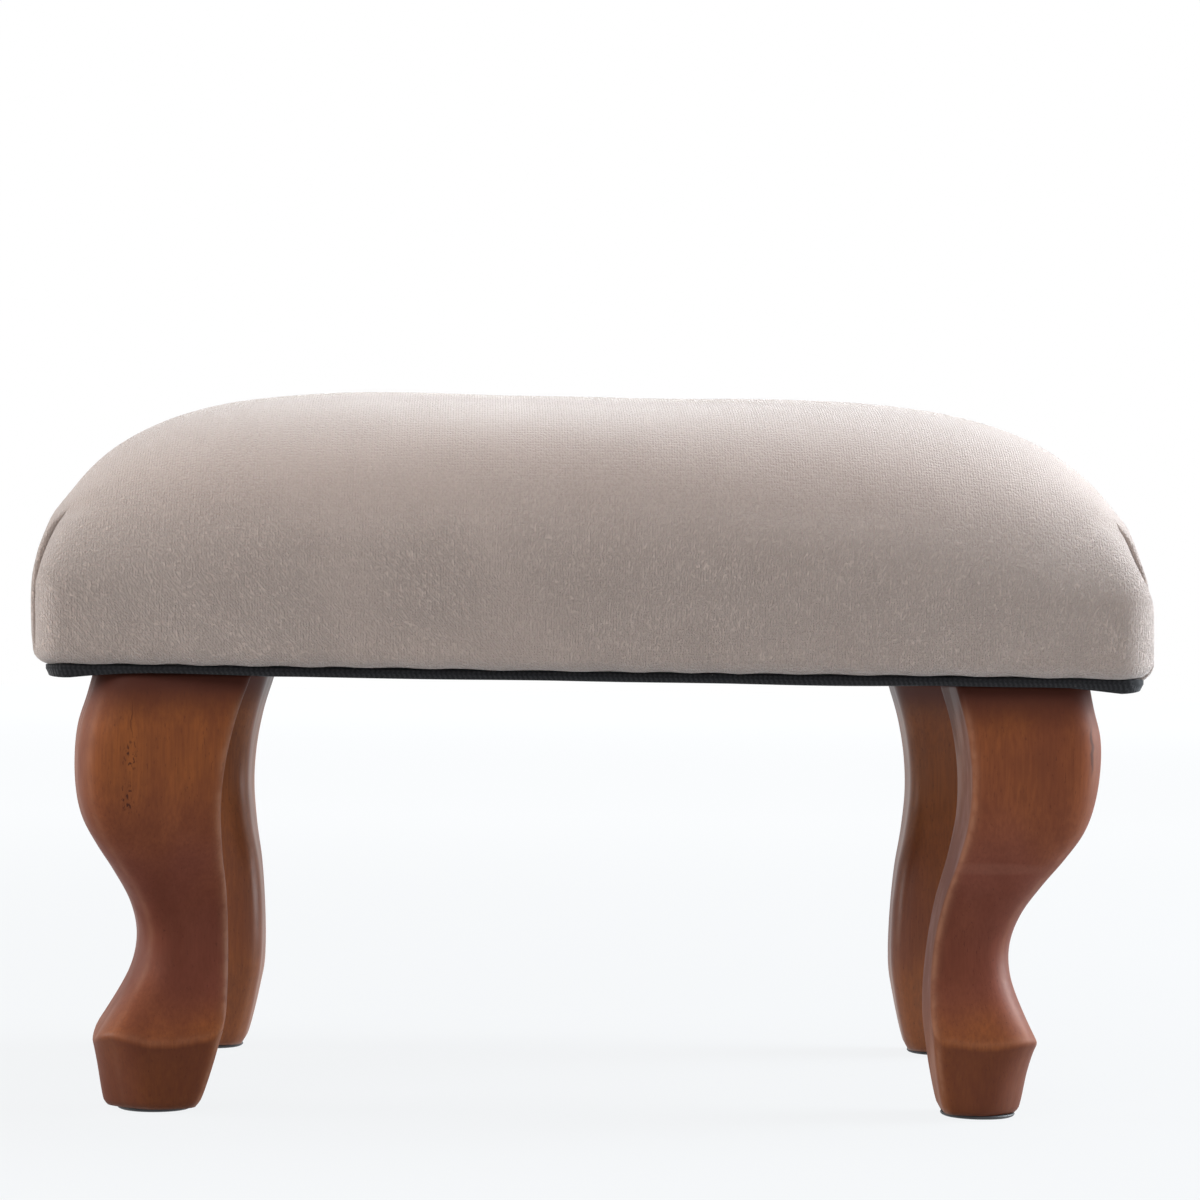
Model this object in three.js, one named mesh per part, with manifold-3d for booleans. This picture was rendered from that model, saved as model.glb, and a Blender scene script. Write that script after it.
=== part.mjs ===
// Upholstered footstool on four cabriole legs.
// Millimetres, +Z up, front at -Y. The origin is on the floor under the middle of the seat.
import * as THREE from 'three';
import { mergeVertices } from 'three/addons/utils/BufferGeometryUtils.js';
import Module from 'manifold-3d';

const wasm = await Module();
wasm.setup();

// Driving dimensions of the seat
const seatWidth = 406;
const seatDepth = 280;
const legHeight = 157;
const edgeAboveLegs = 3;
const wallRise = 26;
const crownRise = 79;
const sideBulge = 3;
const frontBulge = 2.5;
const cornerRadius = 14;
const smallestRadius = 2;

// How the crown falls to the walls: sharp numbers keep it flat for longer, fall numbers round the shoulder
const endSharpness = 5;
const endFall = 0.46;
const frontSharpness = 6;
const frontFall = 0.72;
const saddleDip = 1.2;
const saddleReachShare = 0.5;

// Cover, wadding and foam, from the outside in
const coverThickness = 1.2;
const waddingThickness = 4;
const clearance = 0.3;
const turnUnder = 26;
const rollRadius = 5;
const pleatDepth = 2;
const pleatWidth = 3;
const pleatTopShare = 0.9;

// Dust cover
const dustCoverThickness = 2.2;
const dustCoverInset = 4.5;
const dustCoverHem = 5;
const hemRadius = 0.9;

// Timber frame
const railHeight = 19;
const railThickness = 18;
const deckThickness = 3.6;
const blockBelowRailTop = 2;
const blockArm = 54;
const blockTip = 18;

// Legs
const legStock = 49;
const legAxisInsetX = 51;
const legAxisInsetY = 41;
const outerCornerRadius = 11;
const sideCornerRadius = 2.5;
const innerCornerRadius = 8;
const footSideCornerRadius = 4;
const footSwell = 2.6;

// Glides under the feet
const glideHeight = 1.5;
const glideRadius = 13.5;
const glideBevel = 0.5;
const glidePinRadius = 1.2;
const glidePinLength = 12;
const glideSetInShare = 0.05;

// Fasteners
const boltRadius = 4;
const boltInLeg = 30;
const boltTip = 3;
const tNutFlangeRadius = 9.5;
const tNutFlangeThickness = 1.3;
const tNutBarrelRadius = 5.5;
const tNutBarrelLength = 9;
const screwRadius = 1.75;
const screwHeadRadius = 3.6;
const screwHeadHeight = 2.4;
const screwTip = 3;
const jointScrewLength = 45;
const blockScrewLength = 31;
const deckScrewLength = 17;
const blockScrewPlace = 38;
const deckScrewFromLegAxis = 30;

// Cuts run past the faces that they open by this much
const overrun = 2;
const screwSides = 8;
const boltSides = 12;
const glideSides = 20;

// Sizes that follow from the ones above
const halfWidth = seatWidth / 2;
const halfDepth = seatDepth / 2;
const lowerEdgeHeight = legHeight + edgeAboveLegs;
const wallTopHeight = lowerEdgeHeight + wallRise;
const crownHeight = wallTopHeight + crownRise;
const legAxisX = halfWidth - legAxisInsetX;
const legAxisY = halfDepth - legAxisInsetY;
const deckScrewPlaceX = legAxisX - deckScrewFromLegAxis;
const waddingInset = coverThickness + clearance;
const waddingInnerInset = waddingInset + waddingThickness;
const foamInset = waddingInnerInset + clearance;
const frameBottom = lowerEdgeHeight + coverThickness + clearance;
const railTop = frameBottom + railHeight;
const deckBottom = railTop + clearance;
const foamBottom = deckBottom + deckThickness + clearance;
const blockHeight = railHeight - blockBelowRailTop;
const blockTop = frameBottom + blockHeight;
const tNutTop = blockTop + clearance + tNutFlangeThickness;
const frameHalfX = halfWidth - sideBulge - foamInset;
const frameHalfY = halfDepth - frontBulge - foamInset;
const frameCornerRadius = cornerRadius - foamInset;
const jointScrewInset = frameCornerRadius + screwHeadRadius + clearance;
const frameInnerX = frameHalfX - railThickness;
const frameInnerY = frameHalfY - railThickness;
const footBottom = glideHeight + clearance;

function finish(color, roughness, metalness = 0) {
  return new THREE.MeshStandardMaterial({ color, roughness, metalness });
}

const materials = {
  cover: finish(0x9d9086, 0.95),
  dustCover: finish(0x242427, 0.9),
  leg: finish(0x6e3b25, 0.45),
  glide: finish(0x34343a, 0.6),
  foam: finish(0xe8dcb4, 0.95),
  wadding: finish(0xf2f2ee, 1),
  plywood: finish(0xc9a878, 0.8),
  timber: finish(0xd4b483, 0.8),
  steel: finish(0xb8bcc0, 0.4, 0.9),
};

const stool = new THREE.Group();

function place(name, geometry, material, parent = stool) {
  const mesh = new THREE.Mesh(geometry, material);
  mesh.name = name;
  parent.add(mesh);
  return mesh;
}

// Solids and booleans

function merged(geometry) {
  geometry.deleteAttribute('normal');
  geometry.deleteAttribute('uv');
  return mergeVertices(geometry);
}

function toSolid(geometry) {
  const source = merged(geometry.clone());
  return new wasm.Manifold(new wasm.Mesh({
    numProp: 3,
    vertProperties: new Float32Array(source.attributes.position.array),
    triVerts: new Uint32Array(source.index.array),
  }));
}

function toGeometry(solid) {
  const mesh = solid.getMesh();
  const geometry = new THREE.BufferGeometry();
  geometry.setAttribute('position', new THREE.BufferAttribute(mesh.vertProperties, 3));
  geometry.setIndex(new THREE.BufferAttribute(mesh.triVerts, 1));
  geometry.computeVertexNormals();
  return geometry;
}

function cut(geometry, cutters) {
  return toGeometry(cutters.reduce((solid, cutter) => solid.subtract(toSolid(cutter)), toSolid(geometry)));
}

// A closed skin through rings of equal count, from a first pole to a last pole.
// Each four-sided patch folds along the diagonal that stands out more, so that layers one inside
// another fold alike.
function skin(rings, firstPole, lastPole) {
  const count = rings[0].length;
  const points = [firstPole, ...rings.flat(), lastPole];
  const last = points.length - 1;
  const index = [];
  const reach = (a, b) => points[a].clone().add(points[b]).lengthSq();
  const patch = (a, b, c, d) => {
    index.push(...(reach(a, c) > reach(b, d) ? [a, b, c, a, c, d] : [a, b, d, b, c, d]));
  };
  for (let k = 0; k < count; k++) {
    const next = (k + 1) % count;
    index.push(0, 1 + next, 1 + k);
    for (let r = 0; r < rings.length - 1; r++) {
      const low = 1 + r * count;
      const high = low + count;
      patch(low + k, low + next, high + next, high + k);
    }
    const top = 1 + (rings.length - 1) * count;
    index.push(top + k, top + next, last);
  }
  const geometry = new THREE.BufferGeometry().setFromPoints(points);
  geometry.setIndex(index);
  geometry.computeVertexNormals();
  return geometry;
}

// A body turned about +Z from [radius, height] pairs that start and end on the axis
function turned(profile, sides) {
  const points = profile.map(([radius, height]) => new THREE.Vector2(radius, height));
  return merged(new THREE.LatheGeometry(points, sides).rotateX(Math.PI / 2));
}

function board(shape, height, bottom) {
  return merged(new THREE.ExtrudeGeometry(shape, { depth: height, bevelEnabled: false, curveSegments: 4 }))
    .translate(0, 0, bottom);
}

// The seat's plan

// Stations round a quarter of the seat, from the middle of a short side to the middle of a long side.
// unitX and unitY say where a station lies on a unit square, and set how far the crown has fallen there.
const shortSideShares = [0, 0.4, 0.75];
const longSideShares = [0.75, 0.5, 0.25, 0];
const cornerSteps = 3;

function quarterPlan(inset, bulged, pleated) {
  const radius = Math.max(cornerRadius - inset, smallestRadius);
  const edgeX = halfWidth - sideBulge - inset;
  const edgeY = halfDepth - frontBulge - inset;
  const straightX = edgeX - radius;
  const straightY = edgeY - radius;
  const swell = (share, bulge) => (bulged ? bulge * (1 - share ** 2) : 0);
  const stations = [];
  const onShortSide = (y, draw) => {
    const x = edgeX + swell(y / straightY, sideBulge) - draw;
    stations.push({ x, y, unitX: 1, unitY: y / edgeY, draw });
  };
  const sideEnd = straightY - pleatWidth * 2;
  shortSideShares.forEach((share) => onShortSide(share * sideEnd, 0));
  onShortSide(sideEnd, 0);
  onShortSide(sideEnd + pleatWidth, pleated ? pleatDepth : 0);
  for (let k = 0; k <= cornerSteps; k++) {
    const turn = (k / cornerSteps) * (Math.PI / 2);
    const x = straightX + radius * Math.cos(turn);
    const y = straightY + radius * Math.sin(turn);
    const half = cornerSteps / 2;
    const unitY = Math.min(1, THREE.MathUtils.lerp(straightY / edgeY, 1, k / half));
    const unitX = Math.min(1, THREE.MathUtils.lerp(straightX / edgeX, 1, (cornerSteps - k) / half));
    stations.push({ x, y, unitX, unitY, draw: 0 });
  }
  longSideShares.forEach((share) => {
    const x = share * straightX;
    stations.push({ x, y: edgeY + swell(share, frontBulge), unitX: x / edgeX, unitY: 1, draw: 0 });
  });
  return stations;
}

function fullPlan(inset, bulged, pleated) {
  const quarter = quarterPlan(inset, bulged, pleated);
  const back = quarter.slice(1).reverse().map((s) => ({ ...s, x: -s.x }));
  const upper = [...quarter.slice(0, -1), ...back];
  const lower = upper.map((s) => ({ ...s, x: -s.x, y: -s.y }));
  return [...upper, { ...quarter[0], x: -quarter[0].x }, ...lower.slice(1)];
}

const ringAt = (plan, height) => plan.map((s) => new THREE.Vector3(s.x, s.y, height));

// The crown

function crownRiseShare(unitX, unitY) {
  return (1 - unitX ** endSharpness) ** endFall * (1 - unitY ** frontSharpness) ** frontFall;
}

function crownPoint(x, y, unitX, unitY, inset) {
  const rise = (crownHeight - inset - wallTopHeight) * crownRiseShare(unitX, unitY);
  const along = Math.min(1, Math.abs(x) / (halfWidth * saddleReachShare));
  const dip = saddleDip * (1 - along ** 2) ** 2 * (1 - unitY ** 2);
  return new THREE.Vector3(x, y, wallTopHeight + rise - dip);
}

// Rings of the crown as shares of the plan, from the top of the wall to the middle
const crownRingShares = [1, 0.985, 0.96, 0.925, 0.87, 0.79, 0.66, 0.48, 0.25];

function crownRings(plan, inset) {
  return crownRingShares.map((share) => plan.map((s) => {
    const open = Math.max(0, (share - pleatTopShare) / (1 - pleatTopShare));
    const x = (s.x + Math.sign(s.x) * s.draw * (1 - open)) * share;
    return crownPoint(x, s.y * share, s.unitX * share, s.unitY * share, inset);
  }));
}

const crownPole = (inset) => crownPoint(0, 0, 0, 0, inset);

// Soft pieces

function seatCover() {
  const outer = fullPlan(0, true, true);
  const inner = fullPlan(coverThickness, true, true);
  const underFlap = fullPlan(turnUnder, false, false);
  const underEdge = fullPlan(rollRadius, false, false);
  const rollPlan = fullPlan(rollRadius * 0.25, true, true);
  const flapTop = lowerEdgeHeight + coverThickness;
  const rings = [
    ...crownRings(inner, coverThickness).reverse(),
    ringAt(inner, lowerEdgeHeight + rollRadius),
    ringAt(underEdge, flapTop),
    ringAt(underFlap, flapTop),
    ringAt(underFlap, lowerEdgeHeight),
    ringAt(underEdge, lowerEdgeHeight),
    ringAt(rollPlan, lowerEdgeHeight + rollRadius * 0.3),
    ringAt(outer, lowerEdgeHeight + rollRadius),
    ...crownRings(outer, 0),
  ];
  return skin(rings, crownPole(coverThickness), crownPole(0));
}

function seatWadding() {
  const outer = fullPlan(waddingInset, true, true);
  const inner = fullPlan(waddingInnerInset, false, false);
  const bottom = frameBottom + rollRadius;
  const rings = [
    ...crownRings(inner, waddingInnerInset).reverse(),
    ringAt(inner, bottom),
    ringAt(outer, bottom),
    ...crownRings(outer, waddingInset),
  ];
  return skin(rings, crownPole(waddingInnerInset), crownPole(waddingInset));
}

function foamPad() {
  const outline = fullPlan(foamInset, false, false);
  const rings = [ringAt(outline, foamBottom), ...crownRings(outline, foamInset)];
  return skin(rings, new THREE.Vector3(0, 0, foamBottom), crownPole(foamInset));
}

function dustCover(boltPlaces) {
  const bottom = legHeight + clearance;
  const top = bottom + dustCoverThickness;
  const flat = fullPlan(dustCoverInset + dustCoverHem, false, false);
  const edge = fullPlan(dustCoverInset, false, false);
  const rings = [
    ringAt(flat, bottom),
    ringAt(edge, bottom + hemRadius),
    ringAt(edge, top - hemRadius),
    ringAt(flat, top),
  ];
  const sheet = skin(rings, new THREE.Vector3(0, 0, bottom), new THREE.Vector3(0, 0, top));
  const hole = turned([[0, -overrun], [boltRadius + clearance, -overrun],
    [boltRadius + clearance, dustCoverThickness + overrun], [0, dustCoverThickness + overrun]], boltSides);
  return cut(sheet, boltPlaces.map(({ x, y }) => hole.clone().translate(x, y, bottom)));
}

// Fasteners, each along +Z with its head or flange at the top

function screwProfile(length, gap, headRun) {
  return [
    [0, -length - gap],
    [screwRadius + gap, -length + screwTip - gap],
    [screwRadius + gap, -screwHeadHeight - gap],
    [screwHeadRadius + gap, 0],
    ...(headRun ? [[screwHeadRadius + gap, headRun]] : []),
    [0, headRun],
  ];
}

const screw = (length) => turned(screwProfile(length, 0, 0), screwSides);
const screwCut = (length) => turned(screwProfile(length, clearance, overrun), screwSides);

function tNut() {
  const bore = boltRadius + clearance;
  return turned([
    [bore, -tNutFlangeThickness - tNutBarrelLength],
    [tNutBarrelRadius, -tNutFlangeThickness - tNutBarrelLength],
    [tNutBarrelRadius, -tNutFlangeThickness],
    [tNutFlangeRadius, -tNutFlangeThickness],
    [tNutFlangeRadius, 0],
    [bore, 0],
    [bore, -tNutFlangeThickness - tNutBarrelLength],
  ], boltSides);
}

function hangerBolt() {
  const bottom = legHeight - boltInLeg;
  return turned([
    [0, bottom],
    [boltRadius * 0.4, bottom],
    [boltRadius, bottom + boltTip],
    [boltRadius, tNutTop - boltTip / 2],
    [boltRadius * 0.75, tNutTop],
    [0, tNutTop],
  ], boltSides);
}

// Legs

// Heights as shares of the leg's height, reaches from the leg's axis as shares of half its stock.
// The two outer faces and the two inner faces are sawn to the same pair of curves.
const outerFaceShares = [
  [0, 1.4], [0.1, 1.02], [0.155, 0.77], [0.26, 0.44], [0.33, 0.285], [0.4, 0.262], [0.47, 0.39],
  [0.54, 0.65], [0.6, 0.91], [0.66, 1.13], [0.72, 1.245], [0.8, 1.3], [0.88, 1.28], [0.95, 1.17], [1, 1.1],
];
const innerFaceShares = [
  [0, 0.965], [0.2, 0.965], [0.3, 0.985], [0.4, 0.96], [0.5, 0.885], [0.6, 0.755], [0.7, 0.675],
  [0.8, 0.695], [0.9, 0.805], [1, 1],
];
const footOuterShares = [[0, 0.4], [0.012, 0.45], [0.1, 0.53], [0.155, 0.62], [0.3, 1], [1.1, 2.4]];
const footInnerShares = [[0, 0.64], [0.02, 0.71], [0.1, 0.835], [0.2, 0.955], [0.3, 1.1], [1.1, 2.4]];
const sawnSectionShares = [
  -0.01, 0.1, 0.14, 0.18, 0.22, 0.26, 0.3, 0.34, 0.38, 0.42, 0.46, 0.5, 0.54, 0.58, 0.62, 0.66, 0.7, 0.75,
  0.8, 0.85, 0.9, 0.95, 1,
];
const footSectionShares = [0, 0.012, 0.05, 0.1, 0.13, 0.155, 0.21, 0.3, 1.1];
const swollenFaceShares = [0.15, 0.32, 0.5, 0.68, 0.85];

// A smooth curve through [place, value] pairs, read at one place
function readCurve(pairs, place) {
  const at = (k) => pairs[THREE.MathUtils.clamp(k, 0, pairs.length - 1)];
  const found = pairs.findIndex(([next], k) => k > 0 && place <= next) - 1;
  const k = found < 0 ? (place < pairs[0][0] ? 0 : pairs.length - 2) : found;
  const [x0, y0] = at(k);
  const [x1, y1] = at(k + 1);
  const span = x1 - x0;
  const slope = (i) => (at(i + 1)[1] - at(i - 1)[1]) / (at(i + 1)[0] - at(i - 1)[0]);
  const t = THREE.MathUtils.clamp((place - x0) / span, 0, 1);
  return (2 * t ** 3 - 3 * t ** 2 + 1) * y0 + (t ** 3 - 2 * t ** 2 + t) * span * slope(k)
    + (3 * t ** 2 - 2 * t ** 3) * y1 + (t ** 3 - t ** 2) * span * slope(k + 1);
}

// One section of a leg: a square from -inner to +outer on both axes, with four rounded corners.
// Where the form swells, its two outer faces stand out in the middle.
function legSection(outer, inner, form, height) {
  const corners = [
    { x: outer, y: outer, turn: 0, radius: form.outer, steps: 5 },
    { x: -inner, y: outer, turn: 1, radius: form.side, steps: 2 },
    { x: -inner, y: -inner, turn: 2, radius: form.inner, steps: 4 },
    { x: outer, y: -inner, turn: 3, radius: form.side, steps: 2 },
  ];
  const arcs = corners.map(({ x, y, turn, radius, steps }) => Array.from({ length: steps + 1 }, (_, k) => {
    const angle = (turn + k / steps) * (Math.PI / 2);
    return new THREE.Vector3(
      x - Math.sign(x) * radius + radius * Math.cos(angle),
      y - Math.sign(y) * radius + radius * Math.sin(angle),
      height,
    );
  }));
  const swollenFace = (from, to, outward) => swollenFaceShares.map((share) => {
    const swell = form.swell * (1 - (2 * share - 1) ** 2);
    return from.clone().lerp(to, share).addScaledVector(outward, swell);
  });
  if (form.swell) {
    arcs[0].push(...swollenFace(arcs[0].at(-1), arcs[1][0], new THREE.Vector3(0, 1, 0)));
    arcs[3].push(...swollenFace(arcs[3].at(-1), arcs[0][0], new THREE.Vector3(1, 0, 0)));
  }
  return arcs.flat();
}

// Sections stacked into one body, with reaches read from two curves
function sectionBody(half, sectionShares, outerShares, innerShares, form, bottom) {
  const rise = legHeight - bottom;
  const rings = sectionShares.map((share) => legSection(
    half * readCurve(outerShares, share),
    half * readCurve(innerShares, share),
    form,
    bottom + share * rise,
  ));
  const middle = (ring) => new THREE.Vector3(0, 0, ring[0].z);
  return skin(rings, middle(rings[0]), middle(rings.at(-1)));
}

const sawnForm = { outer: outerCornerRadius, side: sideCornerRadius, inner: innerCornerRadius, swell: 0 };
const footForm = { ...sawnForm, side: footSideCornerRadius, swell: footSwell };

// The sawn leg, trimmed by the tapering foot. Their meeting line is the ridge round the foot.
function legBlank(stock) {
  const half = stock / 2;
  const sawn = sectionBody(half, sawnSectionShares, outerFaceShares, innerFaceShares, sawnForm, 0);
  const trim = sectionBody(half, footSectionShares, footOuterShares, footInnerShares, footForm, footBottom);
  return toGeometry(toSolid(sawn).intersect(toSolid(trim)));
}

// Where each leg stands. The legs are sawn and screwed on by hand, so no two are quite alike:
// spare is what a leg has more than the stock, nudge is how far it stands off its place along X,
// twist turns it about its axis, and lean carries its foot along X.
const legPlaces = [
  {
    corner: 'front_left', signX: -1, signY: -1, quarterTurns: 2,
    spare: 2.2, nudge: 0.5, twistDegrees: 9, leanDegrees: -2.4,
  },
  {
    corner: 'front_right', signX: 1, signY: -1, quarterTurns: 3,
    spare: -1.2, nudge: 1.2, twistDegrees: -1, leanDegrees: -2.9,
  },
  {
    corner: 'back_left', signX: -1, signY: 1, quarterTurns: 1,
    spare: 0, nudge: -1.5, twistDegrees: 0, leanDegrees: -0.2,
  },
  {
    corner: 'back_right', signX: 1, signY: 1, quarterTurns: 0,
    spare: 0, nudge: 8.3, twistDegrees: -4.5, leanDegrees: 0,
  },
].map((p) => ({ ...p, x: p.signX * legAxisX + p.nudge, y: p.signY * legAxisY }));

function legTransform({ quarterTurns, twistDegrees, leanDegrees }) {
  const turn = quarterTurns * (Math.PI / 2) + THREE.MathUtils.degToRad(twistDegrees);
  const slope = Math.tan(THREE.MathUtils.degToRad(leanDegrees));
  const lean = new THREE.Matrix4().makeShear(0, 0, 0, 0, -slope, 0);
  return new THREE.Matrix4()
    .makeTranslation(0, 0, legHeight)
    .multiply(lean)
    .multiply(new THREE.Matrix4().makeTranslation(0, 0, -legHeight))
    .multiply(new THREE.Matrix4().makeRotationZ(turn));
}

function glideProfile(gap) {
  return [
    [0, glideHeight],
    [glidePinRadius + gap, glideHeight],
    [glidePinRadius + gap, glideHeight + glidePinLength + gap],
    [0, glideHeight + glidePinLength + glidePinRadius + gap],
  ];
}

function glide() {
  const [, pinFoot, pinTop, tip] = glideProfile(0);
  return turned([
    [0, 0], [glideRadius - glideBevel, 0], [glideRadius, glideBevel], [glideRadius, glideHeight],
    pinFoot, pinTop, tip,
  ], glideSides);
}

function addLeg(legPlace) {
  const group = new THREE.Group();
  group.position.set(legPlace.x, legPlace.y, 0);
  stool.add(group);
  const transform = legTransform(legPlace);
  const setIn = legStock * glideSetInShare;
  const foot = new THREE.Vector3(-setIn, -setIn, footBottom).applyMatrix4(transform);
  const boltHole = turned([
    [0, legHeight - boltInLeg - clearance], [boltRadius + clearance, legHeight - boltInLeg - clearance],
    [boltRadius + clearance, legHeight + overrun], [0, legHeight + overrun],
  ], boltSides);
  const pinHole = turned(glideProfile(clearance), screwSides).translate(foot.x, foot.y, 0);
  const leg = cut(legBlank(legStock + legPlace.spare).applyMatrix4(transform), [boltHole, pinHole]);
  place(`leg_${legPlace.corner}`, leg, materials.leg, group);
  place(`hanger_bolt_${legPlace.corner}`, hangerBolt(), materials.steel, group);
  place(`t_nut_${legPlace.corner}`, tNut(), materials.steel, group).position.z = tNutTop;
  place(`foot_glide_${legPlace.corner}`, glide(), materials.glide, group).position.set(foot.x, foot.y, 0);
}

// Timber frame

const screwHeight = frameBottom + railHeight / 2;
const alongX = (geometry, sign) => geometry.rotateY(sign * (Math.PI / 2));
const alongY = (geometry, sign) => geometry.rotateX(-sign * (Math.PI / 2));

const jointScrews = legPlaces.map(({ corner, signX, signY }) => ({
  name: `joint_screw_${corner}`,
  length: jointScrewLength,
  turn: (geometry) => alongY(geometry, signY),
  at: [signX * (frameHalfX - jointScrewInset), signY * frameHalfY, screwHeight],
}));

const blockScrews = legPlaces.flatMap(({ corner, signX, signY }) => [
  {
    name: `block_screw_${corner}_long_rail`,
    length: blockScrewLength,
    turn: (geometry) => alongY(geometry, signY),
    at: [signX * (frameInnerX - blockScrewPlace), signY * frameHalfY, screwHeight],
  },
  {
    name: `block_screw_${corner}_short_rail`,
    length: blockScrewLength,
    turn: (geometry) => alongX(geometry, signX),
    at: [signX * frameHalfX, signY * (frameInnerY - blockScrewPlace), screwHeight],
  },
]);

const railMiddleX = frameHalfX - railThickness / 2;
const railMiddleY = frameHalfY - railThickness / 2;
const deckScrewPlaces = [
  ...[-1, 1].flatMap((signY) => [-1, 0, 1].map((signX) => [signX * deckScrewPlaceX, signY * railMiddleY])),
  ...[-1, 1].map((signX) => [signX * railMiddleX, 0]),
];
const deckScrews = deckScrewPlaces.map(([x, y], k) => ({
  name: `deck_screw_${k + 1}`,
  length: deckScrewLength,
  turn: (geometry) => geometry,
  at: [x, y, deckBottom + deckThickness],
}));
const allScrews = [...jointScrews, ...blockScrews, ...deckScrews];

const placed = (geometry, { turn, at }) => turn(geometry).translate(...at);

function withScrewHoles(geometry, screws) {
  return cut(geometry, screws.map((s) => placed(screwCut(s.length), s)));
}

function longRailShape(sign) {
  const inner = (side) => new THREE.Vector2(side * sign * frameHalfX, sign * frameInnerY);
  const outer = fullPlan(foamInset, false, false).filter(({ y }) => sign * y > frameInnerY);
  return new THREE.Shape([inner(1), ...outer.map(({ x, y }) => new THREE.Vector2(x, y)), inner(-1)]);
}

function shortRailShape(sign) {
  const reach = frameInnerY - clearance;
  const shape = new THREE.Shape();
  shape.moveTo(sign * frameHalfX, -reach);
  shape.lineTo(sign * frameHalfX, reach);
  shape.lineTo(sign * frameInnerX, reach);
  shape.lineTo(sign * frameInnerX, -reach);
  return shape;
}

function deckShape() {
  const outline = fullPlan(foamInset, false, false).map((s) => new THREE.Vector2(s.x, s.y));
  return new THREE.Shape(outline);
}

function blockShape(signX, signY) {
  const x = signX * (frameInnerX - clearance);
  const y = signY * (frameInnerY - clearance);
  const corners = [[0, 0], [blockArm, 0], [blockArm, blockTip], [blockTip, blockArm], [0, blockArm]];
  return new THREE.Shape(corners.map(([inX, inY]) => new THREE.Vector2(x - signX * inX, y - signY * inY)));
}

function addFrame() {
  const screwsNear = (test) => allScrews.filter(({ at }) => test(at));
  const longRails = { rail_front: -1, rail_back: 1 };
  Object.entries(longRails).forEach(([name, sign]) => {
    const screws = screwsNear(([, y]) => sign * y > frameInnerY);
    const rail = board(longRailShape(sign), railHeight, frameBottom);
    place(name, withScrewHoles(rail, screws), materials.timber);
  });
  const shortRails = { rail_left: -1, rail_right: 1 };
  Object.entries(shortRails).forEach(([name, sign]) => {
    const screws = screwsNear(([x]) => sign * x > frameInnerX);
    const rail = board(shortRailShape(sign), railHeight, frameBottom);
    place(name, withScrewHoles(rail, screws), materials.timber);
  });
  const deck = board(deckShape(), deckThickness, deckBottom);
  place('seat_deck', withScrewHoles(deck, deckScrews), materials.plywood);
  allScrews.forEach((s) => place(s.name, placed(screw(s.length), s), materials.steel));
}

function addCornerBlock({ corner, signX, signY, x, y }) {
  const hole = tNutBarrelRadius + clearance;
  const boltHole = turned([[0, -overrun], [hole, -overrun],
    [hole, blockHeight + overrun], [0, blockHeight + overrun]], boltSides).translate(x, y, frameBottom);
  const screws = blockScrews.filter(({ name }) => name.startsWith(`block_screw_${corner}`));
  const body = board(blockShape(signX, signY), blockHeight, frameBottom);
  const drilled = cut(body, [boltHole, ...screws.map((s) => placed(screwCut(s.length), s))]);
  place(`corner_block_${corner}`, drilled, materials.timber);
}

legPlaces.forEach(addLeg);
addFrame();
legPlaces.forEach(addCornerBlock);
place('foam_pad', foamPad(), materials.foam);
place('seat_wadding', seatWadding(), materials.wadding);
place('seat_cover', seatCover(), materials.cover);
place('dust_cover', dustCover(legPlaces), materials.dustCover);

export default stool;
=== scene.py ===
import math

import bpy
import numpy as np
from mathutils import Matrix, Vector, kdtree, noise


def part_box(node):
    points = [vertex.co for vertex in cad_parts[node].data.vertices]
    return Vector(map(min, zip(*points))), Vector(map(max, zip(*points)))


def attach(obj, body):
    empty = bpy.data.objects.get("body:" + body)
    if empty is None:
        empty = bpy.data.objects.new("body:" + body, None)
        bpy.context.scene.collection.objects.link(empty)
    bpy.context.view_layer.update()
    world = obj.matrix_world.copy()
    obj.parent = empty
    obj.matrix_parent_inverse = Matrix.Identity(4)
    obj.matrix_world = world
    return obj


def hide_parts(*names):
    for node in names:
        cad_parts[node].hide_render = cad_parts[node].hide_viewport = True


# Upholstered footstool: plush cover over a crowned pad, cloth-covered underside, four cabriole legs.
# Lengths are written in millimetres and become metres when a mesh is made.

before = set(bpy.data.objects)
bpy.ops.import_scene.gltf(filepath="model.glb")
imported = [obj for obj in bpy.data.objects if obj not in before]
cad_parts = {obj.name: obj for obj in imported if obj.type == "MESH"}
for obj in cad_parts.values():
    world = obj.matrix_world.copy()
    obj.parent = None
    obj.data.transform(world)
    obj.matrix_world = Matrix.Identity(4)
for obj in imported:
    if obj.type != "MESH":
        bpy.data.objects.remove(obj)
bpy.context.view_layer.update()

MM = 0.001
BODY = "root"
CORNERS = {
    "front_left": (-1, -1), "front_right": (1, -1), "back_left": (-1, 1), "back_right": (1, 1),
}
CORNER_AT = {signs: corner for corner, signs in CORNERS.items()}
# The legs' attributes: edges worn lighter with a painted highlight, and painted shade on the foot below the
# ridge
RUB_AND_SHADE_NAMES = ("edge_rub_and_highlight", "foot_painted_shade")

# Seat
SEAT_WIDTH = 406
SEAT_DEPTH = 280
LEG_HEIGHT = 157
LOWER_EDGE = 160
WALL_TOP = 186
CROWN_TOP = 265
SIDE_BULGE = 3
FRONT_BULGE = 2.5
CORNER_RADIUS = 14
SMALLEST_RADIUS = 2
END_SHARPNESS = 5
END_FALL = 0.46
EDGE_SHARE = 0.62
EDGE_END = 0.95
EDGE_ARCH = 2.2
EDGE_SHARPNESS = 14
EDGE_FALL = 0.45
DOME_SHARPNESS = (3.2, 5.6)
DOME_FALL = (0.83, 0.7)
SADDLE_DIP = 1.2
SADDLE_REACH = 0.5
LIP_SHARE = 0.5
LIP_REACH = 2.5

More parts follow.
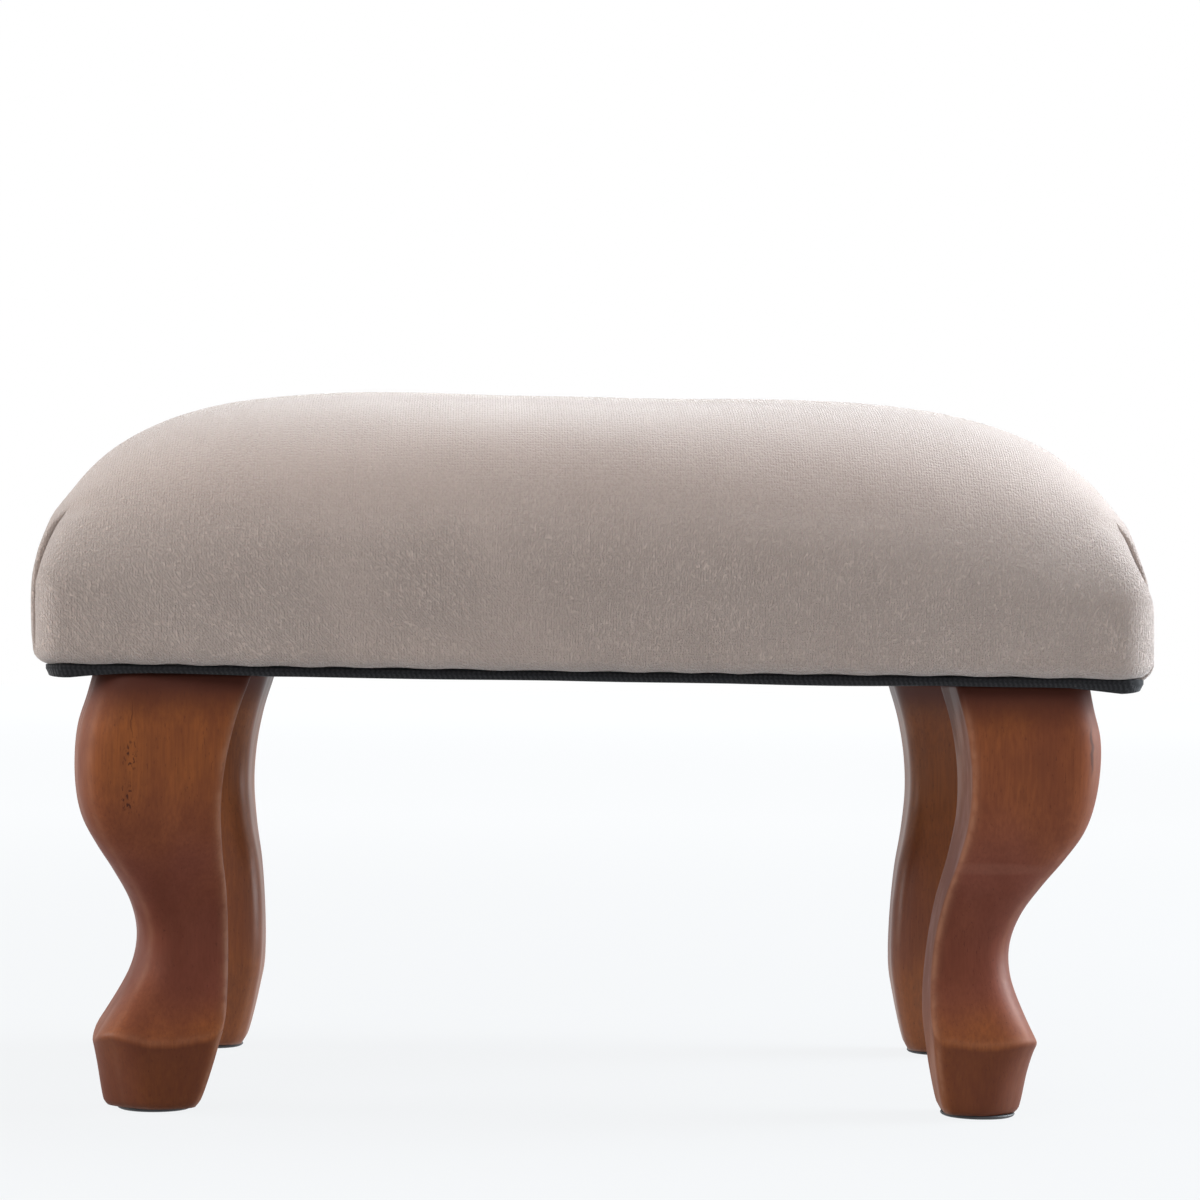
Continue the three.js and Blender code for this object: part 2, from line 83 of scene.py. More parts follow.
# Layers of the seat
COVER_THICKNESS = 1.2
WADDING_THICKNESS = 4
CLEARANCE = 0.3
TURN_UNDER = 26
ROLL_RADIUS = 5
WADDING_INSET = COVER_THICKNESS + CLEARANCE
WADDING_INNER_INSET = WADDING_INSET + WADDING_THICKNESS
FOAM_INSET = WADDING_INNER_INSET + CLEARANCE

HALF_WIDTH = SEAT_WIDTH / 2
HALF_DEPTH = SEAT_DEPTH / 2


# Mesh helpers

def make_mesh(name, points, faces):
    mesh = bpy.data.meshes.new(name)
    mesh.from_pydata([tuple(c * MM for c in p) for p in points], [], faces)
    mesh.validate()
    mesh.shade_smooth()
    piece = bpy.data.objects.new(name, mesh)
    bpy.context.scene.collection.objects.link(piece)
    return piece


def make_skin(name, rings, start=None, end=None):
    """Quads through rings of equal count, closed round, with a fan to one point where one is given."""
    rows, columns = len(rings), len(rings[0])
    points = [p for ring in rings for p in ring]
    faces = []
    for c in range(columns):
        d = (c + 1) % columns
        for r in range(rows - 1):
            low, high = r * columns, (r + 1) * columns
            faces.append((low + c, low + d, high + d, high + c))
        if start is not None:
            faces.append((len(points), d, c))
    points += [start] if start is not None else []
    if end is not None:
        last = (rows - 1) * columns
        faces += [(len(points), last + c, last + (c + 1) % columns) for c in range(columns)]
        points.append(end)
    return make_mesh(name, points, faces)


def circle(centre, radius, height, turns):
    return [(centre[0] + radius * math.cos(a), centre[1] + radius * math.sin(a), height) for a in turns]


def make_turned(name, profile, sides, centre):
    """A body turned about an upright axis from (radius, height) pairs, closed on the axis."""
    turns = [2 * math.pi * k / sides for k in range(sides)]
    rings = [circle(centre, radius, height, turns) for radius, height in profile]
    low, high = profile[0][1], profile[-1][1]
    return make_skin(name, rings, (*centre, low), (*centre, high))


def blend(low, high, share):
    return low + (high - low) * share


def ease(low, high, value):
    """0 below low, 1 above high, and a smooth rise between them."""
    t = min(1, max(0, (value - low) / (high - low)))
    return t * t * (3 - 2 * t)


def bump_curve(distance, reach):
    return np.exp(-((distance / reach) ** 2))


def middle_of(node):
    low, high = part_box(node)
    return ((low.x + high.x) / 2 / MM, (low.y + high.y) / 2 / MM)


def dress(piece, material, slot, *replaced):
    piece.data.materials.append(material)
    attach(piece, BODY)
    if replaced:
        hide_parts(*replaced)
    return piece


# Shader helpers

def feed(node, inputs):
    """Gives each named input a plain value or another node's socket."""
    for name, value in inputs.items():
        if isinstance(value, bpy.types.NodeSocket):
            node.id_data.links.new(value, node.inputs[name])
        else:
            node.inputs[name].default_value = value


def add(tree, kind, inputs=None, **settings):
    made = tree.nodes.new("ShaderNode" + kind)
    for name, value in settings.items():
        setattr(made, name, value)
    feed(made, inputs or {})
    return made


def after(kind, inputs, **settings):
    """A shader node in the tree that its inputs' sockets belong to."""
    tree = next(value.id_data for value in inputs.values() if isinstance(value, bpy.types.NodeSocket))
    return add(tree, kind, inputs, **settings)


def math_node(operation, first, second=0.0):
    return after("Math", {0: first, 1: second}, operation=operation).outputs[0]


def plus(first, second):
    return math_node("ADD", first, second)


def times(first, second):
    return math_node("MULTIPLY", first, second)


def larger(first, second):
    return math_node("MAXIMUM", first, second)


def vector_math(operation, first, second):
    return after("VectorMath", {0: first, 1: second}, operation=operation).outputs["Vector"]


def length_of(vector):
    return after("VectorMath", {0: vector}, operation="LENGTH").outputs["Value"]


def part_of(vector, axis):
    return after("SeparateXYZ", {"Vector": vector}).outputs[axis]


def between(value, low, high, start=0.0, end=1.0):
    """Carries a value from the range low to high smoothly onto start to end."""
    inputs = {"Value": value, "From Min": low, "From Max": high, "To Min": start, "To Max": end}
    return after("MapRange", inputs, interpolation_type="SMOOTHSTEP").outputs["Result"]


def mix_colours(share, first, second):
    return after("Mix", {0: share, 6: first, 7: second}, data_type="RGBA").outputs[2]


def stain(tone, mask, strength, over):
    """Lays a colour over a tone where the mask is."""
    return mix_colours(times(mask, strength), tone, over)


def stretched(vector, scale, rotation=(0, 0, 0)):
    return after("Mapping", {"Vector": vector, "Scale": scale, "Rotation": rotation}).outputs["Vector"]


def noise_tone(vector, scale=1.0, detail=2.0, roughness=0.5, distortion=0.0):
    inputs = {"Vector": vector, "Scale": scale, "Detail": detail, "Roughness": roughness,
              "Distortion": distortion}
    return after("TexNoise", inputs).outputs["Fac"]


def colour(red, green, blue):
    return (red, green, blue, 1)


def cleared_tree(owner):
    owner.use_nodes = True
    owner.node_tree.nodes.clear()
    return owner.node_tree


def new_material(name):
    """A material, its Principled shader and its object coordinates, ready for the details."""
    material = bpy.data.materials.new(name)
    tree = cleared_tree(material)
    shader = add(tree, "BsdfPrincipled")
    add(tree, "OutputMaterial", {"Surface": shader.outputs["BSDF"]})
    return material, shader, add(tree, "TexCoord").outputs["Object"]


def finish_shader(shader, tone, worn, roughness, height, relief, others=None):
    """Feeds a Principled shader. Its roughness follows a mask, and its relief is a strength and a depth."""
    strength, depth = relief
    normal = after("Bump", {"Height": height, "Strength": strength, "Distance": depth * MM}).outputs["Normal"]
    feed(shader, {"Base Color": tone, "Roughness": between(worn, 0, 1, *roughness), "Normal": normal})
    feed(shader, others or {})


# Effects shared by several materials

def new_group(name, inputs, outputs):
    """A group, its entry's sockets and its exit node. An input that isn't one number is a vector."""
    tree = bpy.data.node_groups.new(name, "ShaderNodeTree")
    for label, value in inputs.items():
        kind = "NodeSocketFloat" if isinstance(value, float) else "NodeSocketVector"
        socket = tree.interface.new_socket(name=label, in_out="INPUT", socket_type=kind)
        if value is not None:
            socket.default_value = value
    for label in outputs:
        tree.interface.new_socket(name=label, in_out="OUTPUT", socket_type="NodeSocketFloat")
    return tree, tree.nodes.new("NodeGroupInput").outputs, tree.nodes.new("NodeGroupOutput")


def use_group(group, inputs):
    return after("Group", inputs, node_tree=group).outputs


def build_streak_group():
    """Short streaks, as of brushed pile: noise drawn out along one direction."""
    inputs = {"Vector": None, "Scale": (1, 1, 1), "Rotation": (0, 0, 0), "Wander": 0.0}
    tree, given, result = new_group("short_streaks", inputs, ["Tone"])
    turned = stretched(given["Vector"], (1, 1, 1), given["Rotation"])
    drawn = stretched(turned, given["Scale"])
    tone = noise_tone(drawn, 1.0, 3.0, 0.6, given["Wander"])
    feed(result, {"Tone": between(tone, 0.38, 0.62)})
    return tree


def build_thread_group():
    """Crossed threads of a plain weave, from bands along each axis."""
    inputs = {"Vector": None, "Threads Per Metre": 1000.0, "Wander": 0.3}
    tree, given, result = new_group("crossed_threads", inputs, ["Height"])
    inputs = {"Vector": given["Vector"], "Scale": given["Threads Per Metre"],
              "Distortion": given["Wander"], "Detail": 1.0}
    x_bands, y_bands, z_bands = (
        after("TexWave", inputs, wave_type="BANDS", bands_direction=axis).outputs["Fac"] for axis in "XYZ"
    )
    feed(result, {"Height": larger(times(x_bands, y_bands), times(x_bands, z_bands))})
    return tree


def build_grain_group():
    """Wood grain along Z: broad bands, fine lines and short dark pores."""
    inputs = {"Vector": None, "Fineness": 1.0}
    tree, given, result = new_group("long_grain", inputs, ["Bands", "Lines", "Pores"])
    inputs = {0: given["Vector"], "Scale": given["Fineness"]}
    vector = after("VectorMath", inputs, operation="SCALE").outputs["Vector"]
    bands = noise_tone(stretched(vector, (130, 130, 9)), detail=3.0)
    lines = noise_tone(stretched(vector, (1100, 1100, 45)), detail=3.0, roughness=0.6)
    pores = noise_tone(stretched(vector, (1900, 1900, 330)), detail=1.0)
    feed(result, {"Bands": between(bands, 0.35, 0.65), "Lines": between(lines, 0.3, 0.7)})
    feed(result, {"Pores": between(pores, 0.66, 0.76)})
    return tree


def build_speck_group():
    """Small round specks or cells, and how deep each point lies in its own."""
    inputs = {"Vector": None, "Specks Per Metre": 1000.0, "Share": 0.3}
    tree, given, result = new_group("fine_specks", inputs, ["Mask", "Depth"])
    inputs = {"Vector": given["Vector"], "Scale": given["Specks Per Metre"]}
    depth = after("TexVoronoi", inputs).outputs["Distance"]
    feed(result, {"Mask": math_node("LESS_THAN", depth, given["Share"]), "Depth": depth})
    return tree


def build_rub_and_highlight_group():
    """Where a finish is worn lighter along edges, with a painted highlight there too, broken up so that it
    isn't an even line.
    """
    inputs = {"Vector": None, "Edge": 0.0, "Patches Per Metre": 120.0}
    tree, given, result = new_group("rubbed_and_lit_edges", inputs, ["Mask"])
    broken = between(noise_tone(given["Vector"], given["Patches Per Metre"], 3.0), 0.3, 0.62)
    feed(result, {"Mask": times(plus(times(broken, 0.6), 0.4), given["Edge"])})
    return tree


SHORT_STREAKS = build_streak_group()
CROSSED_THREADS = build_thread_group()
LONG_GRAIN = build_grain_group()
FINE_SPECKS = build_speck_group()
RUBBED_AND_LIT_EDGES = build_rub_and_highlight_group()


def streaks(place, scale, wander, lean=0):
    """Streaks along a scale's smallest side, leant about Y by some degrees."""
    inputs = {"Vector": place, "Scale": scale, "Rotation": (0, math.radians(lean), 0), "Wander": wander}
    return use_group(SHORT_STREAKS, inputs)["Tone"]


def threads(place, per_metre, wander):
    inputs = {"Vector": place, "Threads Per Metre": per_metre, "Wander": wander}
    return use_group(CROSSED_THREADS, inputs)["Height"]


def grain_along(place, fineness):
    return use_group(LONG_GRAIN, {"Vector": place, "Fineness": fineness})


def specks(place, per_metre, share):
    return use_group(FINE_SPECKS, {"Vector": place, "Specks Per Metre": per_metre, "Share": share})


# Materials

# How strong each surface's relief is, and how deep in millimetres
PLUSH_RELIEF, CAMBRIC_RELIEF = (1.0, 0.5), (0.7, 0.18)
FIBRE_RELIEF, FOAM_RELIEF = (0.8, 0.8), (0.7, 0.35)
BEECH_RELIEF, TIMBER_RELIEF = (0.25, 0.08), (0.35, 0.1)
STEEL_RELIEF, PLASTIC_RELIEF = (0.15, 0.03), (0.3, 0.05)
# In metres: where the nap turns along the seat, how far that line wanders, and where the nap flattens upwards
NAP_TURN, NAP_WANDER, NAP_FLATTENS = (0.03, 0.11), 0.24, (0.19, 0.235)


def taupe_plush():
    """Short-pile plush, brushed unevenly, with its backing's ribs faint where it is pulled tight."""
    material, shader, place = new_material("taupe_plush")
    slanted = streaks(place, (1500, 1500, 620), 0.25, 40)
    upright = streaks(place, (1500, 1500, 660), 0.25, -10)
    where = between(plus(part_of(place, "X"), times(noise_tone(place, 16), NAP_WANDER)), *NAP_TURN)
    nap = after("Mix", {0: where, 2: slanted, 3: upright}).outputs[0]
    brushed = between(noise_tone(place, 32, 3.0, 0.6), 0.36, 0.64)
    tone = mix_colours(nap, colour(0.450, 0.355, 0.312), colour(0.512, 0.410, 0.360))
    tone = stain(tone, brushed, 0.1, colour(0.58, 0.48, 0.43))
    height = times(nap, between(part_of(place, "Z"), *NAP_FLATTENS, 1.0, 0.3))
    height = plus(height, times(noise_tone(place, 2600), 0.5))
    height = plus(height, times(threads(place, 330.0, 0.6), 0.3))
    finish_shader(shader, tone, nap, (0.86, 0.98), height, PLUSH_RELIEF, {
        "Sheen Weight": 0.6, "Sheen Roughness": 0.42, "Sheen Tint": colour(1.0, 1.0, 0.99),
        "Specular IOR Level": 0.2,
    })
    return material


def black_cambric():
    """Thin black lining cloth, pressed with a fine crossed pattern, with lint here and there."""
    material, shader, place = new_material("black_cambric")
    weave = threads(stretched(place, (1, 1, 1), (0, 0, math.radians(45))), 250.0, 0.2)
    tone = mix_colours(weave, colour(0.006, 0.006, 0.007), colour(0.020, 0.020, 0.022))
    tone = stain(tone, streaks(place, (1800, 500, 1800), 2.0), 0.2, colour(0.05, 0.05, 0.055))
    tone = stain(tone, specks(place, 160.0, 0.05)["Mask"], 0.5, colour(0.16, 0.15, 0.15))
    finish_shader(shader, tone, weave, (0.95, 0.78), weave, CAMBRIC_RELIEF, {
        "Sheen Weight": 0.1, "Specular IOR Level": 0.2,
    })
    return material


# Marks on the front legs, each with its centre and half sizes in millimetres
KNOTS = [((-163, -131, 128), (3.4, 14, 8)), ((-164, -131, 113), (3.2, 14, 8))]
RIGHT_CRACK = ((178.8, -125, 134), (0.85, 14, 12))
LEFT_CRACK = ((-161.5, -131, 141), (0.3, 14, 9))
PALE_BAND = ((143, -121, 91), (30, 12, 3))
# In metres: how far the cracks wander, and between which heights the tone changes: warmer at the knee,
# painted light at the foot, darker round the ankle, and painted shade at the leg's top
CRACK_WANDER = 0.0026
WARM_KNEE = (0.085, 0.125)
# Painted light: towards the foot the tone is made lighter and warmer where the flare faces up
PAINTED_LIGHT_FOOT = (0.024, 0.046)
ANKLE_HEIGHT = 0.064
ANKLE_REACH = (0.004, 0.03)
# Painted shade: between these heights the leg's top is darkened where the seat's shadow falls
SHADED_TOP_HEIGHTS = (0.138, 0.155)


def mark_mask(place, centre, size):
    """A soft patch round a point."""
    shift = vector_math("SUBTRACT", place, tuple(c * MM for c in centre))
    scaled = vector_math("DIVIDE", shift, tuple(s * MM for s in size))
    return between(length_of(scaled), 0.45, 1.0, 1.0, 0.0)


def stain_with_painted_light(place, height, warmth, cloud):
    """The stain's tone: warmer at the knee, lighter and warmer towards the foot as painted light, darker
    round the ankle and in clouds.
    """
    hue = between(noise_tone(stretched(place, (22, 22, 11))), 0.38, 0.62)
    warm = plus(times(hue, 0.4), warmth)
    warm = plus(warm, between(height, *WARM_KNEE, 0, 0.6))
    # Painted light: lighter and warmer towards the foot
    warm = plus(warm, between(height, *PAINTED_LIGHT_FOOT, 0.7, 0))
    tone = mix_colours(warm, colour(0.180, 0.050, 0.030), colour(0.270, 0.081, 0.023))
    from_ankle = math_node("ABSOLUTE", math_node("SUBTRACT", height, ANKLE_HEIGHT))
    darker = plus(times(cloud, 0.42), between(from_ankle, *ANKLE_REACH, 0.3, 0))
    return stain(tone, darker, 1 - warmth, colour(0.115, 0.030, 0.017))


def leg_marks(place):
    """The small dark marks and the fine cracks that the front legs show."""
    knots = larger(*(mark_mask(place, *knot) for knot in KNOTS))
    ticks = between(noise_tone(stretched(place, (1500, 500, 620))), 0.54, 0.62)
    wander = times(noise_tone(stretched(place, (0, 0, 190))), CRACK_WANDER)
    wavy = vector_math("ADD", place, after("CombineXYZ", {"X": wander}).outputs["Vector"])
    cracks = larger(mark_mask(wavy, *RIGHT_CRACK), times(mark_mask(wavy, *LEFT_CRACK), 0.6))
    return larger(times(knots, ticks), cracks)


def stained_beech(name, warmth, lacquer):
    """Beech with a reddish brown stain under a thin satin lacquer, worn lighter along the edges with a
    painted highlight there, with painted shade on its outward sides, foot and top, and painted light towards
    the foot.
    """
    material, shader, place = new_material(name)
    tree = material.node_tree
    grain = grain_along(place, 1.0)
    height = part_of(place, "Z")
    cloud = between(noise_tone(stretched(place, (60, 60, 26)), detail=4.0, roughness=0.6), 0.34, 0.66)
    # The legs' attributes: edges worn lighter with a painted highlight, and painted shade on the foot
    edge, foot = (add(tree, "Attribute", attribute_name=rub_and_shade).outputs["Fac"] for rub_and_shade in RUB_AND_SHADE_NAMES)
    rub_and_highlight = use_group(RUBBED_AND_LIT_EDGES, {"Vector": place, "Edge": edge, "Patches Per Metre": 160.0})["Mask"]
    tone = stain_with_painted_light(place, height, warmth, cloud)
    for mask, strength, over in (
        (grain["Lines"], 0.34, colour(0.095, 0.028, 0.015)),
        (grain["Pores"], 0.45, colour(0.05, 0.016, 0.011)),
        (leg_marks(place), 0.8, colour(0.028, 0.009, 0.007)),
        (mark_mask(place, *PALE_BAND), 0.14, colour(0.32, 0.14, 0.10)),
        # Lighter along edges and ridge: a worn finish and a painted highlight
        (rub_and_highlight, 0.5, colour(0.40, 0.19, 0.11)),
    ):
        tone = stain(tone, mask, strength, over)
    # Painted shade: faces that look outward along X are darkened against the light the side lamps throw on
    # them
    facing = part_of(add(tree, "NewGeometry").outputs["Normal"], "X")
    outward = times(facing, math_node("SIGN", part_of(place, "X")))
    tone = mix_colours(between(outward, 0.25, 0.95, 0, 0.55), tone, colour(0.095, 0.032, 0.021))
    # Painted shade: darker on the foot's outer face below the ridge, and at the top where the seat's shadow
    # falls
    painted_shade = larger(times(foot, 0.55), between(height, *SHADED_TOP_HEIGHTS))
    tone = mix_colours(painted_shade, tone, colour(0.075, 0.021, 0.013))
    raised = math_node("SUBTRACT", times(grain["Lines"], 0.4), grain["Pores"])
    finish_shader(shader, tone, cloud, (0.5, 0.62), raised, BEECH_RELIEF, {
        "Specular IOR Level": 0.14, "Specular Tint": colour(1.0, 0.88, 0.84),
        "Coat Weight": lacquer, "Coat Roughness": 0.35,
    })
    return material


def grey_glide_plastic():
    material, shader, place = new_material("grey_glide_plastic")
    scuffs = streaks(place, (180, 1500, 300), 1.2)
    tone = stain(colour(0.03, 0.03, 0.034), scuffs, 0.35, colour(0.075, 0.073, 0.072))
    grit = specks(place, 1400.0, 0.3)["Depth"]
    finish_shader(shader, tone, scuffs, (0.45, 0.7), grit, PLASTIC_RELIEF)
    return material


def white_fibre():
    material, shader, place = new_material("white_fibre")
    tufts = streaks(place, (700, 200, 700), 3.0)
    tone = mix_colours(tufts, colour(0.78, 0.78, 0.75), colour(0.92, 0.92, 0.90))
    height = plus(tufts, times(noise_tone(place, 90, 4.0, 0.7), 2.0))
    finish_shader(shader, tone, tufts, (0.9, 1.0), height, FIBRE_RELIEF, {"Sheen Weight": 0.3})
    return material


def cream_foam():
    material, shader, place = new_material("cream_foam")
    cells = specks(place, 900.0, 0.28)
    aged = between(noise_tone(place, 11, 3.0), 0.35, 0.65)
    tone = mix_colours(aged, colour(0.82, 0.74, 0.50), colour(0.74, 0.63, 0.38))
    tone = stain(tone, cells["Mask"], 0.35, colour(0.45, 0.36, 0.2))
    finish_shader(shader, tone, cells["Depth"], (0.98, 0.85), cells["Depth"], FOAM_RELIEF)
    return material


def bare_timber(name, light, dark, fineness, rotation):
    """Unfinished timber, with its grain turned from upright to lie along the board."""
    material, shader, place = new_material(name)
    grain = grain_along(stretched(place, (1, 1, 1), rotation), fineness)
    tone = stain(mix_colours(grain["Bands"], light, dark), grain["Lines"], 0.3, dark)
    finish_shader(shader, tone, grain["Lines"], (0.7, 0.85), grain["Lines"], TIMBER_RELIEF)
    return material


def zinc_steel():
    material, shader, place = new_material("zinc_steel")
    scratches = streaks(place, (2500, 2500, 300), 0.4)
    spangle = specks(place, 500.0, 0.4)["Depth"]
    tone = mix_colours(spangle, colour(0.55, 0.56, 0.58), colour(0.68, 0.69, 0.70))
    finish_shader(shader, tone, scratches, (0.28, 0.45), scratches, STEEL_RELIEF, {"Metallic": 1.0})
    return material


PLUSH = taupe_plush()
CAMBRIC = black_cambric()
FRONT_LEG_WOOD = stained_beech("stained_beech_front", 0.0, 0.0)
BACK_LEG_WOOD = stained_beech("stained_beech_back", 0.45, 0.4)
GLIDE = grey_glide_plastic()
FIBRE = white_fibre()
FOAM = cream_foam()
STEEL = zinc_steel()
ALONG_X = (0, math.radians(90), 0)
ALONG_Y = (math.radians(90), 0, 0)
PINE = (colour(0.68, 0.49, 0.26), colour(0.50, 0.32, 0.15), 0.8)
PLY = (colour(0.62, 0.44, 0.24), colour(0.48, 0.31, 0.15), 0.5)
PINE_ALONG_X = bare_timber("pine_along_width", *PINE, ALONG_X)
PINE_ALONG_Y = bare_timber("pine_along_depth", *PINE, ALONG_Y)
PLYWOOD = bare_timber("deck_plywood", *PLY, ALONG_X)


# Seat surface

EVEN_SIDE = [k / 16 for k in range(16)]
EVEN_LONG = [1 - k / 20 for k in range(1, 21)]
EVEN_CORNER = 6
ROW_CROWDING = 2.1
PAD_ROWS = 26
TINY = 1e-9


def quarter_plan(inset, bulged, side_places, corner_steps, long_places):
    """Stations (x, y, unit x, unit y) of one quarter, from the middle of a short side to the middle of a
    long one. side_places and long_places are shares of the straight runs."""
    radius = max(CORNER_RADIUS - inset, SMALLEST_RADIUS)
    edge_x = HALF_WIDTH - SIDE_BULGE - inset
    edge_y = HALF_DEPTH - FRONT_BULGE - inset
    run_x, run_y = edge_x - radius, edge_y - radius
    stations = []
    for share in side_places:
        swell = SIDE_BULGE * (1 - share ** 2) if bulged else 0
        stations.append((edge_x + swell, share * run_y, 1, share * run_y / edge_y))
    for k in range(corner_steps + 1):
        turn = k / corner_steps * math.pi / 2
        x, y = run_x + radius * math.cos(turn), run_y + radius * math.sin(turn)
        stations.append((x, y, x / edge_x, y / edge_y))
    for share in long_places:
        swell = FRONT_BULGE * (1 - share ** 2) if bulged else 0
        stations.append((share * run_x, edge_y + swell, share * run_x / edge_x, 1))
    return stations


def all_round(count):
    """A quarter's entries mirrored into the four corners, as (signs, entry) in order round the seat."""
    there, back = range(count - 1), range(count - 1, 0, -1)
    corners = [((1, 1), there), ((-1, 1), back), ((-1, -1), there), ((1, -1), back)]
    return [(signs, k) for signs, entries in corners for k in entries]


def mirrored(quarter):
    """A quarter's points and their mirror images, in order round the seat."""
    order = all_round(len(quarter))
    return [(sx * quarter[k][0], sy * quarter[k][1], quarter[k][2]) for (sx, sy), k in order]


def crown_point(x, y, unit_x, unit_y, inset):
    """The crown: a dome on an upright edge, which arches from nothing at the corners to the middle."""
    edge_share = EDGE_SHARE * (1 - min(1, unit_x / EDGE_END) ** EDGE_ARCH)
    edge = (1 - unit_y ** EDGE_SHARPNESS) ** EDGE_FALL
    sharpness, fall = (blend(*ends, unit_x ** 2) for ends in (DOME_SHARPNESS, DOME_FALL))
    dome = (1 - unit_y ** sharpness) ** fall
    rise = (1 - unit_x ** END_SHARPNESS) ** END_FALL * blend(dome, edge, edge_share)
    along = min(1, abs(x) / (HALF_WIDTH * SADDLE_REACH))
    dip = SADDLE_DIP * (1 - along ** 2) ** 2 * (1 - unit_y ** 2)
    return (x, y, WALL_TOP + rise * (CROWN_TOP - inset - WALL_TOP) - dip)


def crown_tip(inset):
    return crown_point(0, 0, 0, 0, inset)


def lip_height(station, inset):
    """How far the crown still stands above the wall's top at a station on the plan's rounded corner."""
    return crown_point(*station, inset)[2] - WALL_TOP


def crown_station(station, share, inset):
    """A station's point on the crown, with the edge over the wall's rounded corner eased."""
    x, y, unit_x, unit_y = station
    across, along, z = crown_point(x * share, y * share, unit_x * share, unit_y * share, inset)
    inward = (1 - share) * math.hypot(x, y)
    return (across, along, z - LIP_SHARE * lip_height(station, inset) * math.exp(-inward / LIP_REACH))


def share_rows(count):
    """Shares of the plan from the wall to near the middle, closer together where the crown is steep."""
    return [1 - (k / count) ** ROW_CROWDING for k in range(count)]


def plain_quarter(inset, bulged):
    return quarter_plan(inset, bulged, EVEN_SIDE, EVEN_CORNER, EVEN_LONG)


def plain_ring(inset, bulged, height):
    return mirrored([(x, y, height) for x, y, _, _ in plain_quarter(inset, bulged)])


def plain_crown(inset, bulged, rows=PAD_ROWS):
    quarter = plain_quarter(inset, bulged)
    return [mirrored([crown_station(s, share, inset) for s in quarter]) for share in share_rows(rows)]


# The seat body blown out under its cover

SIM_VOXEL = 5
SIM_PRESSURE = 4
SIM_FRAMES = 20
SIM_CAP = 5
SIM_START_INSET = 2.5
SIM_WALL_HEIGHTS = (0, 6, 13, 20)
SIM_CROWN_ROWS = 24
SIM_HELD_HEIGHT = 8
SIM_NEIGHBOURS = 26
SIM_SHARE = 0.3
SIM_LIMITS = (-0.15, 1.0)


def read_points(mesh):
    flat = np.empty(len(mesh.vertices) * 3, np.float32)
    mesh.vertices.foreach_get("co", flat)
    return flat.reshape(-1, 3).astype(float) / MM


def shown_mesh(piece):
    graph = bpy.context.evaluated_depsgraph_get()
    return bpy.data.meshes.new_from_object(piece.evaluated_get(graph), depsgraph=graph)


def blow_out_seat():
    """Blows a slightly smaller seat body out under pressure, held along its lower edge.
    Returns the points of the body and how far each has gone."""
    inset = SIM_START_INSET
    rings = [plain_ring(inset, True, LOWER_EDGE + height) for height in SIM_WALL_HEIGHTS]
    rings += plain_crown(inset, True, SIM_CROWN_ROWS)
    form = make_skin("blown_seat", rings, (0, 0, LOWER_EDGE), crown_tip(inset))
    cells = form.modifiers.new("even_cells", "REMESH")
    cells.mode = "VOXEL"
    cells.voxel_size = SIM_VOXEL * MM
    even = shown_mesh(form)
    form.modifiers.clear()
    form.data = even
    start = read_points(even)
    held = form.vertex_groups.new(name="held")
    held.add([int(k) for k in np.nonzero(start[:, 2] < LOWER_EDGE + SIM_HELD_HEIGHT)[0]], 1, "REPLACE")
    cloth = form.modifiers.new("pressure", "CLOTH")
    cloth.settings.vertex_group_mass = held.name
    cloth.settings.use_pressure = True
    cloth.settings.uniform_pressure_force = SIM_PRESSURE
    cloth.settings.effector_weights.gravity = 0
    for step in range(1, SIM_FRAMES + 1):
        bpy.context.scene.frame_set(step)
    moved = read_points(shown_mesh(form)) - start
    bpy.context.scene.frame_set(1)
    lengths = np.linalg.norm(moved, axis=1, keepdims=True)
    moved *= np.minimum(1, SIM_CAP / np.maximum(lengths, TINY))
    bpy.data.objects.remove(form)
    return start, moved


def carry_swell(points, normals):
    """How far the blown-out seat pushes each of the cover's points along its normal."""
    start, moved = blow_out_seat()
    tree = kdtree.KDTree(len(start))
    for k, p in enumerate(start):
        tree.insert(p, k)
    tree.balance()
    swell = np.empty(len(points))
    for k, (point, normal) in enumerate(zip(points, normals)):
        near = tree.find_n(point, SIM_NEIGHBOURS)
        weights = np.array([1 / (distance + SIM_VOXEL / 2) for _, _, distance in near])
        push = np.average([moved[index] for _, index, _ in near], axis=0, weights=weights)
        swell[k] = push @ normal
    pushed_in, pushed_out = (limit * np.tanh(swell * SIM_SHARE / limit) for limit in SIM_LIMITS)
    return np.where(swell < 0, pushed_in, pushed_out)


# The tucks: on each short side, near each corner, the side's cloth is folded over the front's and the fold
# faces the corner. An entry in front of the fold line is a distance from it and how far the cloth stands out
# there. An entry behind it is the distance before folding and after it, and how far the cloth stands out.
TUCK_FROM_CORNER = 3
TUCK_FRONT = [(2.6, -0.03), (1.7, -0.12), (1.0, -0.3), (0.5, -0.6), (0.2, -0.9)]
TUCK_BEHIND = [
    (0.05, -0.1, -1.0), (0.25, -0.5, -0.3), (0.5, -0.8, 0.4), (0.8, -0.85, 1.1), (1.1, -0.5, 1.7),
    (1.6, 0.2, 2.05), (2.4, 1.4, 2.2), (3.6, 2.9, 2.2), (5.5, 5.1, 2.1), (8, 7.8, 1.95), (11, 11, 1.75),
    (15, 15, 1.45), (20, 20, 1.15), (26, 26, 0.8), (33, 33, 0.5), (42, 42, 0.25), (52, 52, 0.08),
]
TUCK_LAST = 62
# Between these insets each fold is lost under the seat
TUCK_UNDERSIDE = (2, TURN_UNDER * 0.6)
